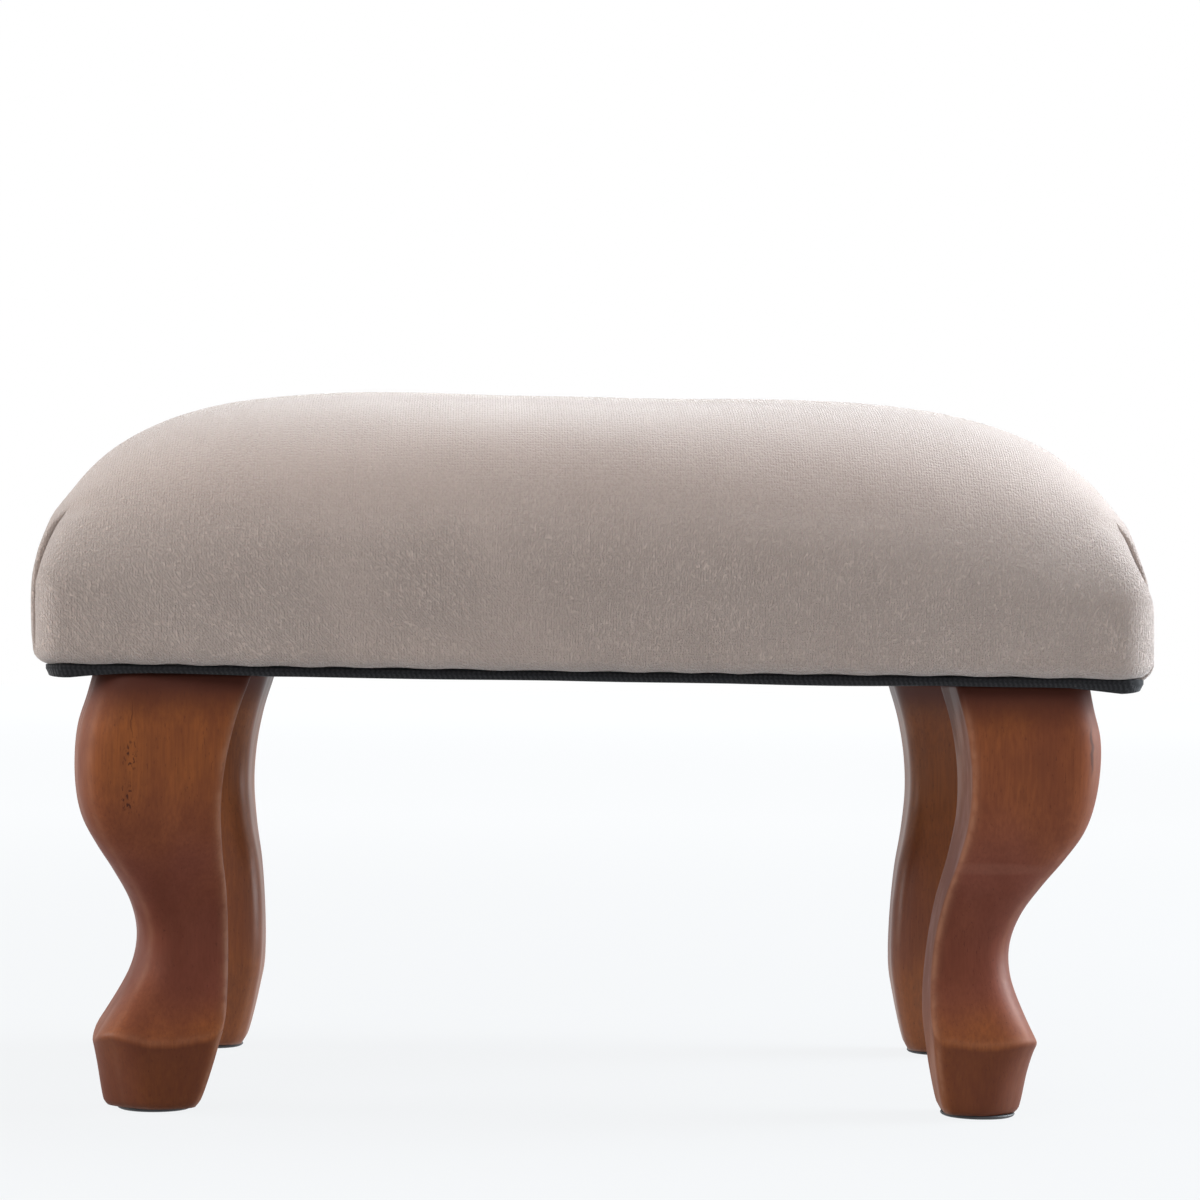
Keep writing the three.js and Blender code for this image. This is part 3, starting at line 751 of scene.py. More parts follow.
# By height: how far each tuck is folded over, from 0 to 1, and how far the cloth is drawn in there
LEFT_FOLD = [(160, 0.2), (164, 0.8), (170, 1), (200, 1), (209, 0.85), (216, 0)]
RIGHT_FOLD = [
    (160, 0.7), (165, 0.6), (171, 0.12), (187, 0.1), (195, 0.75), (204, 0.9), (211, 0.6), (217, 0),
]
LEFT_DRAW = [(160, 2.6), (162, 2.4), (168, 2.2), (182, 1.5), (196, 1.4), (204, 0.9), (213, 0)]
RIGHT_DRAW = [
    (160, 2.2), (163, 1), (167, 0), (185, 0), (191, 1.4), (197, 2.3), (203, 2.4), (209, 1.3), (215, 0),
]
FOLDS = dict.fromkeys(CORNERS, LEFT_FOLD) | {"front_right": RIGHT_FOLD}
DRAWS = dict.fromkeys(CORNERS, LEFT_DRAW) | {"front_right": RIGHT_DRAW}
DRAW_REACH = 70

# The cover's rows and columns
SIDE_RUN = HALF_DEPTH - FRONT_BULGE - CORNER_RADIUS
TUCK_LINE = SIDE_RUN - TUCK_FROM_CORNER
SIDE_STEPS, CORNER_STEPS, LONG_STEPS = 12, 12, 44
LONG_PLACES = [1 - k / LONG_STEPS for k in range(1, LONG_STEPS + 1)]
UNDER_INSETS = (TURN_UNDER, 19, 12, 8)
ROLL_ROWS, WALL_ROWS, CROWN_ROWS = 6, 9, 60
ROLL_TOP = LOWER_EDGE + ROLL_RADIUS
# Between these rows the cover comes free of the frame and may swell
SWELL_ROWS = (9, 21)


def cover_places():
    """Places along a short side as distances from its middle, each with its tuck entry or None."""
    places = [((TUCK_LINE - TUCK_LAST) * k / SIDE_STEPS, None) for k in range(SIDE_STEPS)]
    places += [(TUCK_LINE - flat, (flat, folded, out)) for flat, folded, out in reversed(TUCK_BEHIND)]
    places += [(TUCK_LINE + ahead, (-ahead, -ahead, out)) for ahead, out in reversed(TUCK_FRONT)]
    return places


SIDE_PLACES = cover_places()


def read_steps(pairs, height):
    return float(np.interp(height, *zip(*pairs)))


def cover_quarter(inset, strength):
    """One quarter's stations at an inset, with the tuck folded as far as its strength says."""
    shares = []
    for place, tuck in SIDE_PLACES:
        folded = place if tuck is None else TUCK_LINE - blend(tuck[0], tuck[1], min(1, strength))
        shares.append(folded / SIDE_RUN)
    return quarter_plan(inset, True, shares, CORNER_STEPS, LONG_PLACES)


def cover_rows():
    """Rows of the cover from its turned-under rim to near the middle, as (inset, height, crown share)."""
    rows = [(inset, LOWER_EDGE, None) for inset in UNDER_INSETS]
    for k in range(ROLL_ROWS):
        turn = k / ROLL_ROWS * math.pi / 2
        inset, rise = (ROLL_RADIUS * (1 - swing) for swing in (math.sin(turn), math.cos(turn)))
        rows.append((inset, LOWER_EDGE + rise, None))
    rows += [(0, blend(ROLL_TOP, WALL_TOP, k / WALL_ROWS), None) for k in range(WALL_ROWS)]
    return rows + [(0, None, share) for share in share_rows(CROWN_ROWS)]


COVER_ROWS = cover_rows()


def tuck_strength(corner, inset, height, share):
    if share is not None:
        edge = HALF_WIDTH - SIDE_BULGE
        unit_y = TUCK_LINE / (HALF_DEPTH - FRONT_BULGE)
        height = crown_point(edge * share, TUCK_LINE * share, share, unit_y * share, 0)[2]
    return read_steps(FOLDS[corner], height) * (1 - ease(*TUCK_UNDERSIDE, inset))


def drawn_in(corner, x, y, height):
    """How far the side is pulled towards the middle where its cloth is gathered into a tuck."""
    behind = TUCK_LINE - abs(y)
    near = 1 - ease(0, DRAW_REACH, behind)
    if behind < 0:
        near = 1 - ease(TUCK_FROM_CORNER, TUCK_FROM_CORNER + CORNER_RADIUS, -behind)
    return near * read_steps(DRAWS[corner], height) * min(1, abs(x) / TUCK_LINE)


def cover_row(corner, strength, inset, height, share):
    """One quarter's points along a row, before it is mirrored into its corner."""
    points = []
    for station in cover_quarter(inset, strength):
        if share is None:
            x, y, z = station[0], station[1], height
            z += lip_height(station, 0) * (1 - LIP_SHARE) * max(0, (z - ROLL_TOP) / (WALL_TOP - ROLL_TOP))
        else:
            x, y, z = crown_station(station, share, 0)
        points.append((x - drawn_in(corner, x, y / (share or 1), z), y, z))
    return points


def cover_surface(folded):
    """The cover's outer points as rows and columns, and how far each stands out for the tucks."""
    order = all_round(len(SIDE_PLACES) + CORNER_STEPS + 1 + LONG_STEPS)
    points, stand = [], []
    for inset, height, share in COVER_ROWS:
        strengths = {c: tuck_strength(c, inset, height, share) if folded else 0 for c in CORNERS}
        quarters = {c: cover_row(c, s, inset, height, share) for c, s in strengths.items()}
        row, out = [], []
        for (sx, sy), k in order:
            corner = CORNER_AT[(sx, sy)]
            x, y, z = quarters[corner][k]
            row.append((sx * x, sy * y, z))
            tuck = SIDE_PLACES[k][1] if k < len(SIDE_PLACES) else None
            out.append(0 if tuck is None else tuck[2] * strengths[corner])
        points.append(row)
        stand.append(out)
    return np.array(points), np.array(stand)


def grid_normals(points):
    across = np.roll(points, -1, axis=1) - np.roll(points, 1, axis=1)
    upward = np.gradient(points, axis=0)
    normals = np.cross(across, upward)
    return normals / np.maximum(np.linalg.norm(normals, axis=2, keepdims=True), TINY)


PULL_SPACING = 22
PULL_DEPTH = 0.22
PULL_WANDER, PULL_DRAW = 0.013, 3.7
PULL_TOP = 176
LUMP_DEPTH = 0.28
LUMP_SCALE = 0.022


def surface_unevenness(points):
    """Small lumps of the filling, and faint pulls above the staples along the lower edge."""
    wall = points[len(UNDER_INSETS) + ROLL_ROWS]
    around = np.cumsum(np.linalg.norm(np.roll(wall, -1, axis=0) - wall, axis=1))
    out = np.empty(points.shape[:2])
    for r, row in enumerate(points):
        for c, p in enumerate(row):
            lump = noise.fractal(Vector(p) * LUMP_SCALE, 1.0, 2.0, 3, noise_basis="PERLIN_NEW") * LUMP_DEPTH
            wander = noise.noise(Vector((around[c] * PULL_WANDER, PULL_DRAW, 0)))
            pull = math.cos(2 * math.pi * (around[c] / PULL_SPACING + wander)) * PULL_DEPTH
            out[r, c] = lump + pull * (1 - ease(LOWER_EDGE, PULL_TOP, p[2]))
    return out


PINCH_HEIGHT, FULLER_HEIGHT = 215.5, 223.5
PINCH_DEPTH = 1.6
PINCH_FROM, PINCH_RUN = 176, 12
PINCH_WIDTH, PINCH_REACH, FULLER_REACH = 6, 3, 5


def tuck_pinch(points):
    """The small hollow where a tuck begins on the shoulder, and the fuller cloth just above it."""
    x, y, z = points[..., 0], points[..., 1], points[..., 2]
    near = bump_curve(np.abs(y) - TUCK_LINE, PINCH_WIDTH)
    near *= np.clip((np.abs(x) - PINCH_FROM) / PINCH_RUN, 0, 1)
    fuller, hollow = bump_curve(z - FULLER_HEIGHT, FULLER_REACH), bump_curve(z - PINCH_HEIGHT, PINCH_REACH)
    return near * PINCH_DEPTH * (fuller - hollow)


def build_cover():
    """The cover, folded over at its corners, with the plain inner side that lies on the wadding."""
    flat, _ = cover_surface(False)
    folded, stand = cover_surface(True)
    normals = grid_normals(flat)
    swell = carry_swell(flat.reshape(-1, 3), normals.reshape(-1, 3)).reshape(flat.shape[:2])
    free = np.array([ease(*SWELL_ROWS, k) for k in range(len(COVER_ROWS))])[:, None]
    rise = swell * free + surface_unevenness(flat) + tuck_pinch(flat)
    outer = folded + normals * (stand + rise)[..., None]
    inner = flat + normals * (np.minimum(rise, 0) - COVER_THICKNESS)[..., None]
    top = float(outer[-1].mean(axis=0)[2])
    rings = [[tuple(p) for p in row] for row in (*inner[::-1], *outer)]
    end = (0, 0, max(top, crown_tip(0)[2]))
    return make_skin("seat_upholstery", rings, (0, 0, top - COVER_THICKNESS), end)


WADDING_BOTTOM = 166.5
LEAST_WADDING = 0.5
FOAM_BOTTOM = 184.7


def build_wadding():
    outer, inner = (
        [plain_ring(inset, bulged, WADDING_BOTTOM)] + plain_crown(inset, bulged)
        for inset, bulged in ((WADDING_INSET, True), (WADDING_INNER_INSET, False))
    )
    for ring in outer:
        for k, (x, y, z) in enumerate(ring):
            corner = CORNER_AT[(1 if x > 0 else -1, 1 if y > 0 else -1)]
            draw = min(drawn_in(corner, x, y, z), WADDING_THICKNESS - LEAST_WADDING)
            ring[k] = (x - math.copysign(draw, x), y, z)
    ends = (crown_tip(inset) for inset in (WADDING_INNER_INSET, WADDING_INSET))
    return make_skin("fibre_wrap", inner[::-1] + outer, *ends)


def build_foam():
    rings = [plain_ring(FOAM_INSET, False, FOAM_BOTTOM)] + plain_crown(FOAM_INSET, False)
    return make_skin("foam_block", rings, (0, 0, FOAM_BOTTOM), crown_tip(FOAM_INSET))


# Legs: a blank sawn to one pair of curves on its two outer and two inner faces, and trimmed below to a
# tapering foot. Curves give heights as shares of the leg, and reaches as shares of half the stock.

LEG_STOCK = 49
LEG_INSET = (51, 41)
FOOT_BOTTOM = 1.6
OUTER_CURVE = [
    (0, 1.4), (0.1, 1.02), (0.155, 0.77), (0.26, 0.44), (0.33, 0.285), (0.4, 0.262), (0.47, 0.39),
    (0.54, 0.65), (0.6, 0.91), (0.66, 1.13), (0.72, 1.245), (0.8, 1.3), (0.88, 1.28), (0.95, 1.17), (1, 1.1),
]
INNER_CURVE = [
    (0, 0.965), (0.2, 0.965), (0.3, 0.985), (0.4, 0.96), (0.5, 0.885), (0.6, 0.755), (0.7, 0.675),
    (0.8, 0.695), (0.9, 0.805), (1, 1),
]
FOOT_OUTER_CURVE = [(0, 0.4), (0.012, 0.45), (0.1, 0.53), (0.155, 0.62), (0.3, 1), (1.1, 2.4)]
FOOT_INNER_CURVE = [(0, 0.64), (0.02, 0.71), (0.1, 0.835), (0.2, 0.955), (0.3, 1.1), (1.1, 2.4)]
OUTER_ROUND, SIDE_ROUND, INNER_ROUND, FOOT_SIDE_ROUND = 15, 2.5, 8, 4
OUTER_FULLNESS = 0.8
RIDGE_SOFTNESS = 1.1
FLARE_HEIGHT, FLARE_REACH = 22, 20

# How each leg was fitted: quarter turns, spare stock, nudge along X, twist and lean in degrees
LEG_FITS = {
    "front_left": (2, 2.2, 0.5, 9, -2.4), "front_right": (3, -1.2, 1.2, -1, -2.9),
    "back_left": (1, 0, -1.5, 0, -0.2), "back_right": (0, 0, 8.3, -4.5, 0),
}
# How each leg was finished by hand: how much wider it flares out to the ridge, and how full its foot is
LEG_SHAPES = {
    "front_left": (2.2, 3.6), "front_right": (0.3, 1.8), "back_left": (0.6, 2.5), "back_right": (0.6, 2.5),
}

# A leg's columns and rows. The spread is in degrees from each of its four edges.
SECTION_STEPS = 16
CORNER_SPREAD = (0.7, 1.5, 2.4, 3.4, 4.6, 6.2, 8.5, 11.5, 15, 19, 24, 29, 34, 39.5)
LEG_SAMPLES = 300
ROWS_BELOW_RIDGE = 26
ROWS_ABOVE_RIDGE = 104
ROW_STRETCH = 1.08

# Where the finish is worn off along edges and ridge, with a painted highlight there, and where the foot's
# outer face below the ridge gets painted shade
OUTSIDE_FADE = 0.2
SHADE_BELOW_RIDGE, SHADE_FADE = 0.5, 1.2
RIDGE_RUB_AND_HIGHLIGHT, RUB_AND_HIGHLIGHT_ABOVE_RIDGE, RUB_AND_HIGHLIGHT_FADE = 0.3, 0.6, 1.2
SOFT_EDGE_RUB_AND_HIGHLIGHT, EDGE_RUB_AND_HIGHLIGHT_REACH = 0.35, 1.5

BOLT_HOLE_RADIUS, BOLT_HOLE_BOTTOM = 4.3, 126.7
PIN_HOLE_RADIUS, PIN_HOLE_TOP = 1.5, 13.8


def read_curve(pairs, place):
    """A smooth curve through (place, value) pairs, read at one place."""
    last = len(pairs) - 1
    k = next((i - 1 for i in range(1, last + 1) if place <= pairs[i][0]), last - 1)
    (x0, y0), (x1, y1) = pairs[k], pairs[k + 1]

    def slope(i):
        (xa, ya), (xb, yb) = pairs[max(i - 1, 0)], pairs[min(i + 1, last)]
        return (yb - ya) / (xb - xa)

    span = x1 - x0
    t = min(1, max(0, (place - x0) / span))
    rise = (t ** 3 - 2 * t ** 2 + t) * span * slope(k) + (t ** 3 - t ** 2) * span * slope(k + 1)
    return (2 * t ** 3 - 3 * t ** 2 + 1) * y0 + (3 * t ** 2 - 2 * t ** 3) * y1 + rise


def section_outline(outer, inner, side_round, swell):
    """A square from -inner to outer on both axes with four rounded corners and two swollen outer faces."""
    corners = [
        (outer, outer, OUTER_ROUND, OUTER_FULLNESS), (-inner, outer, side_round, 1),
        (-inner, -inner, INNER_ROUND, 1), (outer, -inner, side_round, 1),
    ]
    arcs = []
    for turn, (x, y, radius, fullness) in enumerate(corners):
        centre = (x - math.copysign(radius, x), y - math.copysign(radius, y))
        arc = []
        for k in range(SECTION_STEPS + 1):
            angle = (turn + k / SECTION_STEPS) * math.pi / 2
            swing = zip(centre, (math.cos(angle), math.sin(angle)))
            arc.append(tuple(c + math.copysign(abs(w) ** fullness, w) * radius for c, w in swing))
        arcs.append(arc)
    outline = []
    shares = [k / SECTION_STEPS for k in range(1, SECTION_STEPS)]
    for arc, following in zip(arcs, arcs[1:] + arcs[:1]):
        (x0, y0), (x1, y1) = arc[-1], following[0]
        outline += arc + [(blend(x0, x1, share), blend(y0, y1, share)) for share in shares]
    middle, half = (outer - inner) / 2, (outer + inner) / 2
    offsets = (np.array(outline) - middle) / half
    across = np.clip(1 - offsets ** 2, 0, 1)
    outward = np.clip(offsets, 0, 1) ** 3
    return np.array(outline) + swell * across[:, ::-1] * outward


def column_angles():
    """Directions of a leg's columns, close together at its four edges."""
    offsets = [-spread for spread in reversed(CORNER_SPREAD)] + [0, *CORNER_SPREAD, 45]
    return np.radians([edge + offset for edge in (45, 135, 225, 315) for offset in offsets])


def reach_in(outline, middle, angles):
    """Distances from a point to an outline in the given directions."""
    shifted = outline - middle
    turns = np.arctan2(shifted[:, 1], shifted[:, 0])
    return np.interp(angles, turns, np.hypot(shifted[:, 0], shifted[:, 1]), period=2 * math.pi)


def soft_minimum(first, second, softness):
    share = np.clip(0.5 + 0.5 * (second - first) / softness, 0, 1)
    return second * (1 - share) + first * share - softness * share * (1 - share)


def leg_reaches(heights, angles, half, flare, fullness):
    """At each height, how far the sawn blank and the trimmed foot reach from the section's middle."""
    sawn, foot, middles = [], [], []
    for z in heights:
        place, foot_place = z / LEG_HEIGHT, (z - FOOT_BOTTOM) / (LEG_HEIGHT - FOOT_BOTTOM)
        wider = flare * bump_curve(z - FLARE_HEIGHT, FLARE_REACH)
        outer, inner = half * read_curve(OUTER_CURVE, place) + wider, half * read_curve(INNER_CURVE, place)
        foot_outer = half * read_curve(FOOT_OUTER_CURVE, foot_place) + wider
        foot_inner = half * read_curve(FOOT_INNER_CURVE, foot_place)
        middle = (min(outer, foot_outer) - min(inner, foot_inner)) / 2
        middles.append(middle)
        sawn.append(reach_in(section_outline(outer, inner, SIDE_ROUND, 0), middle, angles))
        outline = section_outline(foot_outer, foot_inner, FOOT_SIDE_ROUND, fullness)
        foot.append(reach_in(outline, middle, angles))
    return np.array(sawn), np.array(foot), np.array(middles)


def leg_form(stock, flare, fullness):
    """Rings of a leg standing on its axis, with how far each point is worn lighter with a painted highlight,
    and how much painted shade it gets on the foot.
    """
    angles = column_angles()
    heights = np.linspace(FOOT_BOTTOM, LEG_HEIGHT, LEG_SAMPLES)
    sawn, foot, middles = leg_reaches(heights, angles, stock / 2, flare, fullness)
    reach = soft_minimum(sawn, foot, RIDGE_SOFTNESS)
    lower = [k / ROWS_BELOW_RIDGE for k in range(ROWS_BELOW_RIDGE)]
    upper = [(k / (ROWS_ABOVE_RIDGE - 1)) ** ROW_STRETCH for k in range(ROWS_ABOVE_RIDGE)]
    rings = np.empty((ROWS_BELOW_RIDGE + ROWS_ABOVE_RIDGE, len(angles), 3))
    rub_and_highlight, painted_foot_shade = np.zeros(rings.shape[:2]), np.zeros(rings.shape[:2])
    for c, angle in enumerate(angles):
        ridge = heights[np.argmax(foot[:, c] > sawn[:, c])]
        rows = [blend(FOOT_BOTTOM, ridge, share) for share in lower]
        rows += [blend(ridge, LEG_HEIGHT, share) for share in upper]
        z = np.array(rows)
        out, middle = np.interp(z, heights, reach[:, c]), np.interp(z, heights, middles)
        rings[:, c] = np.stack([middle + out * math.cos(angle), middle + out * math.sin(angle), z], axis=1)
        outside = ease(-OUTSIDE_FADE, OUTSIDE_FADE, math.cos(angle - math.pi / 4))
        # Painted shade on the foot's outer face below the ridge
        painted_foot_shade[:, c] = outside * np.clip((ridge - SHADE_BELOW_RIDGE - z) / SHADE_FADE, 0, 1)
        degrees = math.degrees(angle)
        from_edge = abs((degrees % 90) - 45) * out * math.pi / 180
        sharp = 1 if 90 <= degrees % 180 else SOFT_EDGE_RUB_AND_HIGHLIGHT
        # Lighter along the ridge and the side edges: a worn finish and a painted highlight
        ridge_rub_and_highlight = RIDGE_RUB_AND_HIGHLIGHT * outside * bump_curve(z - ridge - RUB_AND_HIGHLIGHT_ABOVE_RIDGE, RUB_AND_HIGHLIGHT_FADE)
        rub_and_highlight[:, c] = np.maximum(ridge_rub_and_highlight, sharp * bump_curve(from_edge, EDGE_RUB_AND_HIGHLIGHT_REACH))
    rub_and_highlight = np.maximum(rub_and_highlight, bump_curve(rings[..., 2] - LEG_HEIGHT, RUB_AND_HIGHLIGHT_FADE))
    return rings, dict(zip(RUB_AND_SHADE_NAMES, (rub_and_highlight, painted_foot_shade)))


def leg_axis(corner):
    (sign_x, sign_y), nudge = CORNERS[corner], LEG_FITS[corner][2]
    return (sign_x * (HALF_WIDTH - LEG_INSET[0]) + nudge, sign_y * (HALF_DEPTH - LEG_INSET[1]))


def build_leg(corner):
    turns, spare, _, twist, lean = LEG_FITS[corner]
    axis, pin = leg_axis(corner), middle_of(f"foot_glide_{corner}")
    angle = turns * math.pi / 2 + math.radians(twist)
    slope = math.tan(math.radians(lean))
    form, rub_and_shade = leg_form(LEG_STOCK + spare, *LEG_SHAPES[corner])
    c, s = math.cos(angle), math.sin(angle)
    x, y, z = form[..., 0], form[..., 1], form[..., 2]
    form = np.stack([c * x - s * y + slope * (LEG_HEIGHT - z) + axis[0], s * x + c * y + axis[1], z], axis=-1)
    bearings = column_angles() + angle
    below = [circle(pin, PIN_HOLE_RADIUS, height, bearings) for height in (PIN_HOLE_TOP, FOOT_BOTTOM)]
    above = [circle(axis, BOLT_HOLE_RADIUS, height, bearings) for height in (LEG_HEIGHT, BOLT_HOLE_BOTTOM)]
    rings = below + [[tuple(p) for p in ring] for ring in form] + above
    leg = make_skin(f"cabriole_leg_{corner}", rings, (*pin, PIN_HOLE_TOP), (*axis, BOLT_HOLE_BOTTOM))
    for name, grid in rub_and_shade.items():
        holes = np.zeros((2, grid.shape[1]))
        values = np.append(np.concatenate([holes, grid, holes]).ravel(), [0, 0])
        leg.data.attributes.new(name, "FLOAT", "POINT").data.foreach_set("value", values.astype(np.float32))
    return leg


GLIDE_SIDES = 64
GLIDE_PROFILE = [
    (11.6, 0), (12.4, 0.1), (13.1, 0.4), (13.5, 0.85), (13.5, 1.2), (13.35, 1.42), (13.1, 1.5),
    (1.5, 1.5), (1.2, 1.7), (1.2, 12.6), (0.9, 13.4),
]


def build_glide(corner):
    place = middle_of(f"foot_glide_{corner}")
    return make_turned(f"furniture_glide_{corner}", GLIDE_PROFILE, GLIDE_SIDES, place)


# The lining under the frame

LINING_INSET = 4.5
LINING_SHIFT = 1
LINING_BOTTOM = 157.3
LINING_TOP = 159.9
LINING_THICKNESS = 1.3
LEAST_THICKNESS = LINING_THICKNESS * 0.6
HEM_WIDTH = 14
HEM_END = LINING_INSET + HEM_WIDTH
HEM_DROP, HEM_DROP_RATE = 0.35, 3
# The lining's outer rows: how far each lies inside the seat's edge, and how far it is lifted
EDGE_ROWS = [(LINING_INSET, 1.2), (LINING_INSET + 0.4, 0.5), (LINING_INSET + 1.2, 0)]
EDGE_ROWS += [(inset, 0) for inset in (8, 11, 14, 16.5, HEM_END, 19.2, 22, 26, 31, 37)]
MIDDLE_ROWS = 14
# Between these distances from a leg's axis the lining comes free of the leg
LEG_CLEAR = (26, 34)
LEAST_SAG, MIDDLE_SAG = 0.3, 0.6
WRINKLE_DEPTH, WRINKLE_PITCH, WRINKLE_DRAW = 0.4, (0.02, 0.05), 1.3
# Where the lining hangs lower: centre, depth and reach
PUFFS = [((-186, -131), 1.5, 11), ((186, -131), 2.0, 11), ((-60, -133), 0.4, 40), ((70, -133), 0.5, 45)]
PUNCH_SIDES, PUNCH_HEIGHTS = 24, (150, 165)


def lining_sag(x, y):
    """How much lower than its frame the lining hangs, and never on a leg."""
    legs = 1.0
    for corner in CORNERS:
        leg_x, leg_y = leg_axis(corner)
        legs *= ease(*LEG_CLEAR, max(abs(x - leg_x), abs(y - leg_y)))
    place = Vector((x * WRINKLE_PITCH[0], y * WRINKLE_PITCH[1], WRINKLE_DRAW))
    wrinkle = noise.noise(place) * WRINKLE_DEPTH + LEAST_SAG
    middle = (1 - (x / HALF_WIDTH) ** 2) * (1 - (y / HALF_DEPTH) ** 2) * MIDDLE_SAG
    puff = sum(deep * bump_curve(math.hypot(x - at[0], y - at[1]), wide) for at, deep, wide in PUFFS)
    return legs * (wrinkle + middle + puff)


def edge_heights(x, y, inset, lift):
    """The lower and upper face of the lining at one of its outer rows, thick where it is doubled."""
    sag = lining_sag(x, y)
    bottom = LINING_BOTTOM + lift - (0 if lift else sag)
    if inset <= HEM_END:
        return bottom - HEM_DROP * min(1, sag * HEM_DROP_RATE), LINING_TOP - lift / 4
    return bottom, max(bottom + LEAST_THICKNESS, LINING_BOTTOM + LINING_THICKNESS)


def middle_heights(x, y):
    bottom = LINING_BOTTOM - lining_sag(x, y)
    return bottom, bottom + LINING_THICKNESS


def build_lining():
    """The black lining: one thin closed sheet, doubled along its folded edge."""
    lower, upper = [], []

    def add_row(places, heights):
        lower.append([(x, y, bottom) for (x, y), (bottom, _) in zip(places, heights)])
        upper.append([(x, y, top) for (x, y), (_, top) in zip(places, heights)])

    for inset, lift in EDGE_ROWS:
        outline = plain_ring(inset, False, 0)
        places = [(x + LINING_SHIFT, y) for x, y, _ in outline]
        add_row(places, [edge_heights(x, y, inset, lift) for x, y in places])
    for k in range(1, MIDDLE_ROWS):
        share = 1 - k / MIDDLE_ROWS
        places = [(x * share + LINING_SHIFT, y * share) for x, y, _ in outline]
        add_row(places, [middle_heights(x, y) for x, y in places])
    start, end = [(LINING_SHIFT, 0, height) for height in middle_heights(0, 0)]
    lining = make_skin("lining_cloth", lower[::-1] + upper, start, end)
    for corner in CORNERS:
        profile = [(BOLT_HOLE_RADIUS, height) for height in PUNCH_HEIGHTS]
        punch = make_turned("punch", profile, PUNCH_SIDES, middle_of(f"hanger_bolt_{corner}"))
        hole = lining.modifiers.new("bolt_hole", "BOOLEAN")
        hole.object = punch
        hole.solver = "EXACT"
        lining.data = shown_mesh(lining)
        lining.modifiers.clear()
        bpy.data.objects.remove(punch)
    return lining


STAPLE_SPACING = 24
STAPLE_INSET = 14
STAPLE_END_GAP = 14
STAPLE_HALF, STAPLE_ARM, STAPLE_BEND = 5, 1.2, 0.5
STAPLE_WIRE = 0.3
STAPLE_SUNK = 0.3
STAPLE_PATH = [
    (-STAPLE_HALF, STAPLE_ARM), (-STAPLE_HALF, 0), (STAPLE_BEND - STAPLE_HALF, -STAPLE_WIRE),
    (STAPLE_HALF - STAPLE_BEND, -STAPLE_WIRE), (STAPLE_HALF, 0), (STAPLE_HALF, STAPLE_ARM),
]
WIRE_CORNERS = ((-1, -0.6), (1, -0.6), (1, 0.6), (-1, 0.6))
ASKEW, ASKEW_PITCH, ASKEW_DRAW = 0.35, 0.11, 5


def add_staple(points, faces, x, y, turn):
    """One staple: a flattened wire with its ends bent up."""
    start = len(points)
    c, s = math.cos(turn), math.sin(turn)
    base = LINING_BOTTOM - lining_sag(x, y) + STAPLE_SUNK
    for run, rise in STAPLE_PATH:
        for side, lift in WIRE_CORNERS:
            across, z = side * STAPLE_WIRE, base + rise + lift * STAPLE_WIRE
            points.append((x + c * run - s * across, y + s * run + c * across, z))
    last = start + 4 * (len(STAPLE_PATH) - 1)
    for first in range(start, last, 4):
        for j in range(4):
            a, b = first + j, first + (j + 1) % 4
            faces.append((a, b, b + 4, a + 4))
    faces.append(tuple(start + j for j in (3, 2, 1, 0)))
    faces.append(tuple(last + j for j in range(4)))


def build_staples():
    """Staples through the folded edge, each a little askew."""
    points, faces = [], []
    half_x = HALF_WIDTH - SIDE_BULGE - STAPLE_INSET
    half_y = HALF_DEPTH - FRONT_BULGE - STAPLE_INSET
    for half, length, swap in ((half_y, half_x, False), (half_x, half_y, True)):
        reach = length - STAPLE_END_GAP
        count = round(2 * reach / STAPLE_SPACING)
        for side in (-1, 1):
            for k in range(count + 1):
                run = blend(-reach, reach, k / count)
                askew = noise.noise(Vector((run * ASKEW_PITCH, side * ASKEW_DRAW, half))) * ASKEW
                x, y = (side * half, run) if swap else (run, side * half)
                add_staple(points, faces, x, y, askew + (math.pi / 2 if swap else 0))
    return make_mesh("lining_staples", points, faces)


def paint_node(name, material):
    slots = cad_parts[name].data.materials
    slots.clear()
    slots.append(material)


# The stool

dress(build_cover(), PLUSH, "cover_plush", "seat_cover")
dress(build_wadding(), FIBRE, "wadding_fibre", "seat_wadding")
dress(build_foam(), FOAM, "foam", "foam_pad")

lining = dress(build_lining(), CAMBRIC, "dust_cloth", "dust_cover")
staples = dress(build_staples(), STEEL, "fastener_steel")

for corner in CORNERS:
    wood = FRONT_LEG_WOOD if "front" in corner else BACK_LEG_WOOD
    dress(build_leg(corner), wood, "leg_wood", f"leg_{corner}")
    dress(build_glide(corner), GLIDE, "glide_plastic", f"foot_glide_{corner}")
    paint_node(f"corner_block_{corner}", PINE_ALONG_X)

paint_node("rail_front", PINE_ALONG_X)
paint_node("rail_back", PINE_ALONG_X)
paint_node("rail_left", PINE_ALONG_Y)
paint_node("rail_right", PINE_ALONG_Y)
paint_node("seat_deck", PLYWOOD)
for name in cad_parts:
    if "screw" in name or "bolt" in name or "t_nut" in name:
        paint_node(name, STEEL)


# Floor, background, light and camera

FLOOR_SIZE = 60000
FLOOR_SHADE = 0.035
BOUNCE_SHADE = 0.5
AMBIENT = 0.2
# The floor's glow: two distances in metres and how bright it is at each. The far glow adds to the near one.
NEAR_GLOW = (0.1, 2.5, 0.885, 0.975)
FAR_GLOW = (2.5, 12, 0, 0.04)
GLOW_TINT = (0.973, 0.987, 1.0)


def seen_directly(tree):
    """1 for what the camera sees straight or in a gloss or glass, 0 for the light that falls on things."""
    path = add(tree, "LightPath").outputs
    return larger(larger(path["Is Camera Ray"], path["Is Glossy Ray"]), path["Is Transmission Ray"])


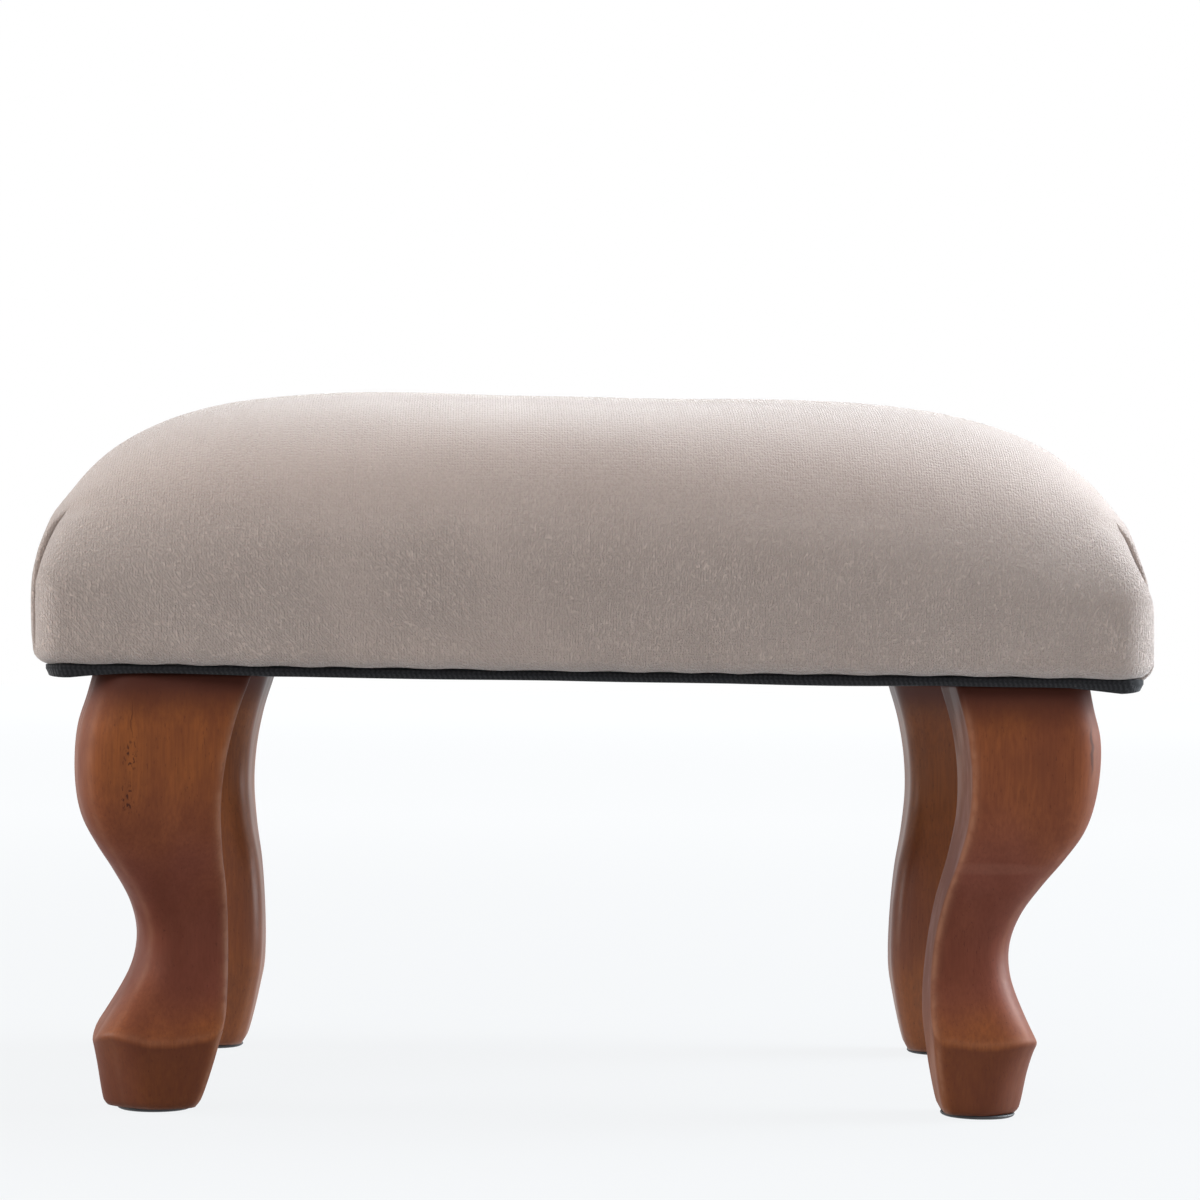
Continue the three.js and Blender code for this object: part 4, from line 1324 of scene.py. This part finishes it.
def floor_material():
    material = bpy.data.materials.new("white_floor")
    tree = cleared_tree(material)
    shaded = add(tree, "BsdfDiffuse", {"Color": colour(FLOOR_SHADE, FLOOR_SHADE, FLOOR_SHADE)})
    far = length_of(add(tree, "TexCoord").outputs["Object"])
    strength = plus(between(far, *NEAR_GLOW), between(far, *FAR_GLOW))
    glow = after("Emission", {"Color": colour(*GLOW_TINT), "Strength": strength})
    seen = after("AddShader", {0: shaded.outputs[0], 1: glow.outputs[0]})
    bounce = add(tree, "BsdfDiffuse", {"Color": colour(BOUNCE_SHADE, BOUNCE_SHADE, BOUNCE_SHADE)})
    mixed = after("MixShader", {0: seen_directly(tree), 1: bounce.outputs[0], 2: seen.outputs[0]})
    after("OutputMaterial", {"Surface": mixed.outputs[0]})
    return material


def build_floor():
    half = FLOOR_SIZE / 2
    corners = [(-half, -half, 0), (half, -half, 0), (half, half, 0), (-half, half, 0)]
    floor = make_mesh("studio_floor", corners, [(0, 1, 2, 3)])
    floor.data.materials.append(floor_material())


def build_world():
    world = bpy.data.worlds.new("white_room")
    strength = between(seen_directly(cleared_tree(world)), 0, 1, AMBIENT, 1.0)
    room = after("Background", {"Color": colour(1, 1, 1), "Strength": strength})
    after("OutputWorld", {"Surface": room.outputs[0]})
    bpy.context.scene.world = world


# Softboxes: name, place, width and height in metres, power and tint
LIT_POINT = (0, 0, 0.18)
COOL_LIGHT = (0.90, 0.985, 1.06)
PLAIN_LIGHT = (1.0, 1.0, 1.0)
SOFTBOXES = [
    ("right_softbox_high", (1.5, 0.3, 1.1), (0.8, 0.8), 28, COOL_LIGHT),
    ("right_softbox_low", (1.6, 0.1, 0.5), (0.8, 0.8), 38, COOL_LIGHT),
    ("overhead_softbox_right", (0.6, 0.4, 1.5), (0.9, 0.8), 12.5, COOL_LIGHT),
    ("overhead_softbox_middle", (0, -0.1, 1.7), (1.2, 0.8), 4, COOL_LIGHT),
    ("left_softbox", (-1.6, -0.05, 0.6), (0.8, 0.8), 22, PLAIN_LIGHT),
    ("front_softbox", (-0.9, -1.5, 1.1), (0.9, 0.9), 14, PLAIN_LIGHT),
]


def add_softbox(name, place, size, power, tint):
    lamp = bpy.data.lights.new(name, "AREA")
    lamp.color = tint
    lamp.shape = "RECTANGLE"
    lamp.size, lamp.size_y = size
    lamp.energy = power
    softbox = bpy.data.objects.new(name, lamp)
    softbox.location = place
    softbox.rotation_euler = (Vector(place) - Vector(LIT_POINT)).to_track_quat("Z", "Y").to_euler()
    bpy.context.scene.collection.objects.link(softbox)


CAMERA_PLACE = (-44.7, -1242.2, 157.8)
CAMERA_LENS, CAMERA_SENSOR = 94.32, 36
CAMERA_YAW, CAMERA_PITCH, CAMERA_ROLL = (math.radians(a) for a in (2.35, 1.41, 0.84))
NEAREST_SEEN, FARTHEST_SEEN = 0.05, 100


def add_camera():
    lens = bpy.data.cameras.new("photo_camera")
    lens.lens = CAMERA_LENS
    lens.sensor_width = CAMERA_SENSOR
    lens.clip_start, lens.clip_end = NEAREST_SEEN, FARTHEST_SEEN
    yaw, pitch, roll = CAMERA_YAW, CAMERA_PITCH, CAMERA_ROLL
    ahead = Vector((math.sin(yaw) * math.cos(pitch), math.cos(yaw) * math.cos(pitch), math.sin(pitch)))
    level = Vector((math.cos(yaw), -math.sin(yaw), 0))
    upright = level.cross(ahead)
    right = level * math.cos(roll) + upright * math.sin(roll)
    up = upright * math.cos(roll) - level * math.sin(roll)
    place = Matrix.Translation(Vector(CAMERA_PLACE) * MM)
    camera = bpy.data.objects.new("photo_camera", lens)
    camera.matrix_world = place @ Matrix((right, up, -ahead)).transposed().to_4x4()
    bpy.context.scene.collection.objects.link(camera)
    bpy.context.scene.camera = camera


build_floor()
build_world()
for softbox in SOFTBOXES:
    add_softbox(*softbox)
add_camera()
bpy.context.scene.view_settings.view_transform = "Standard"
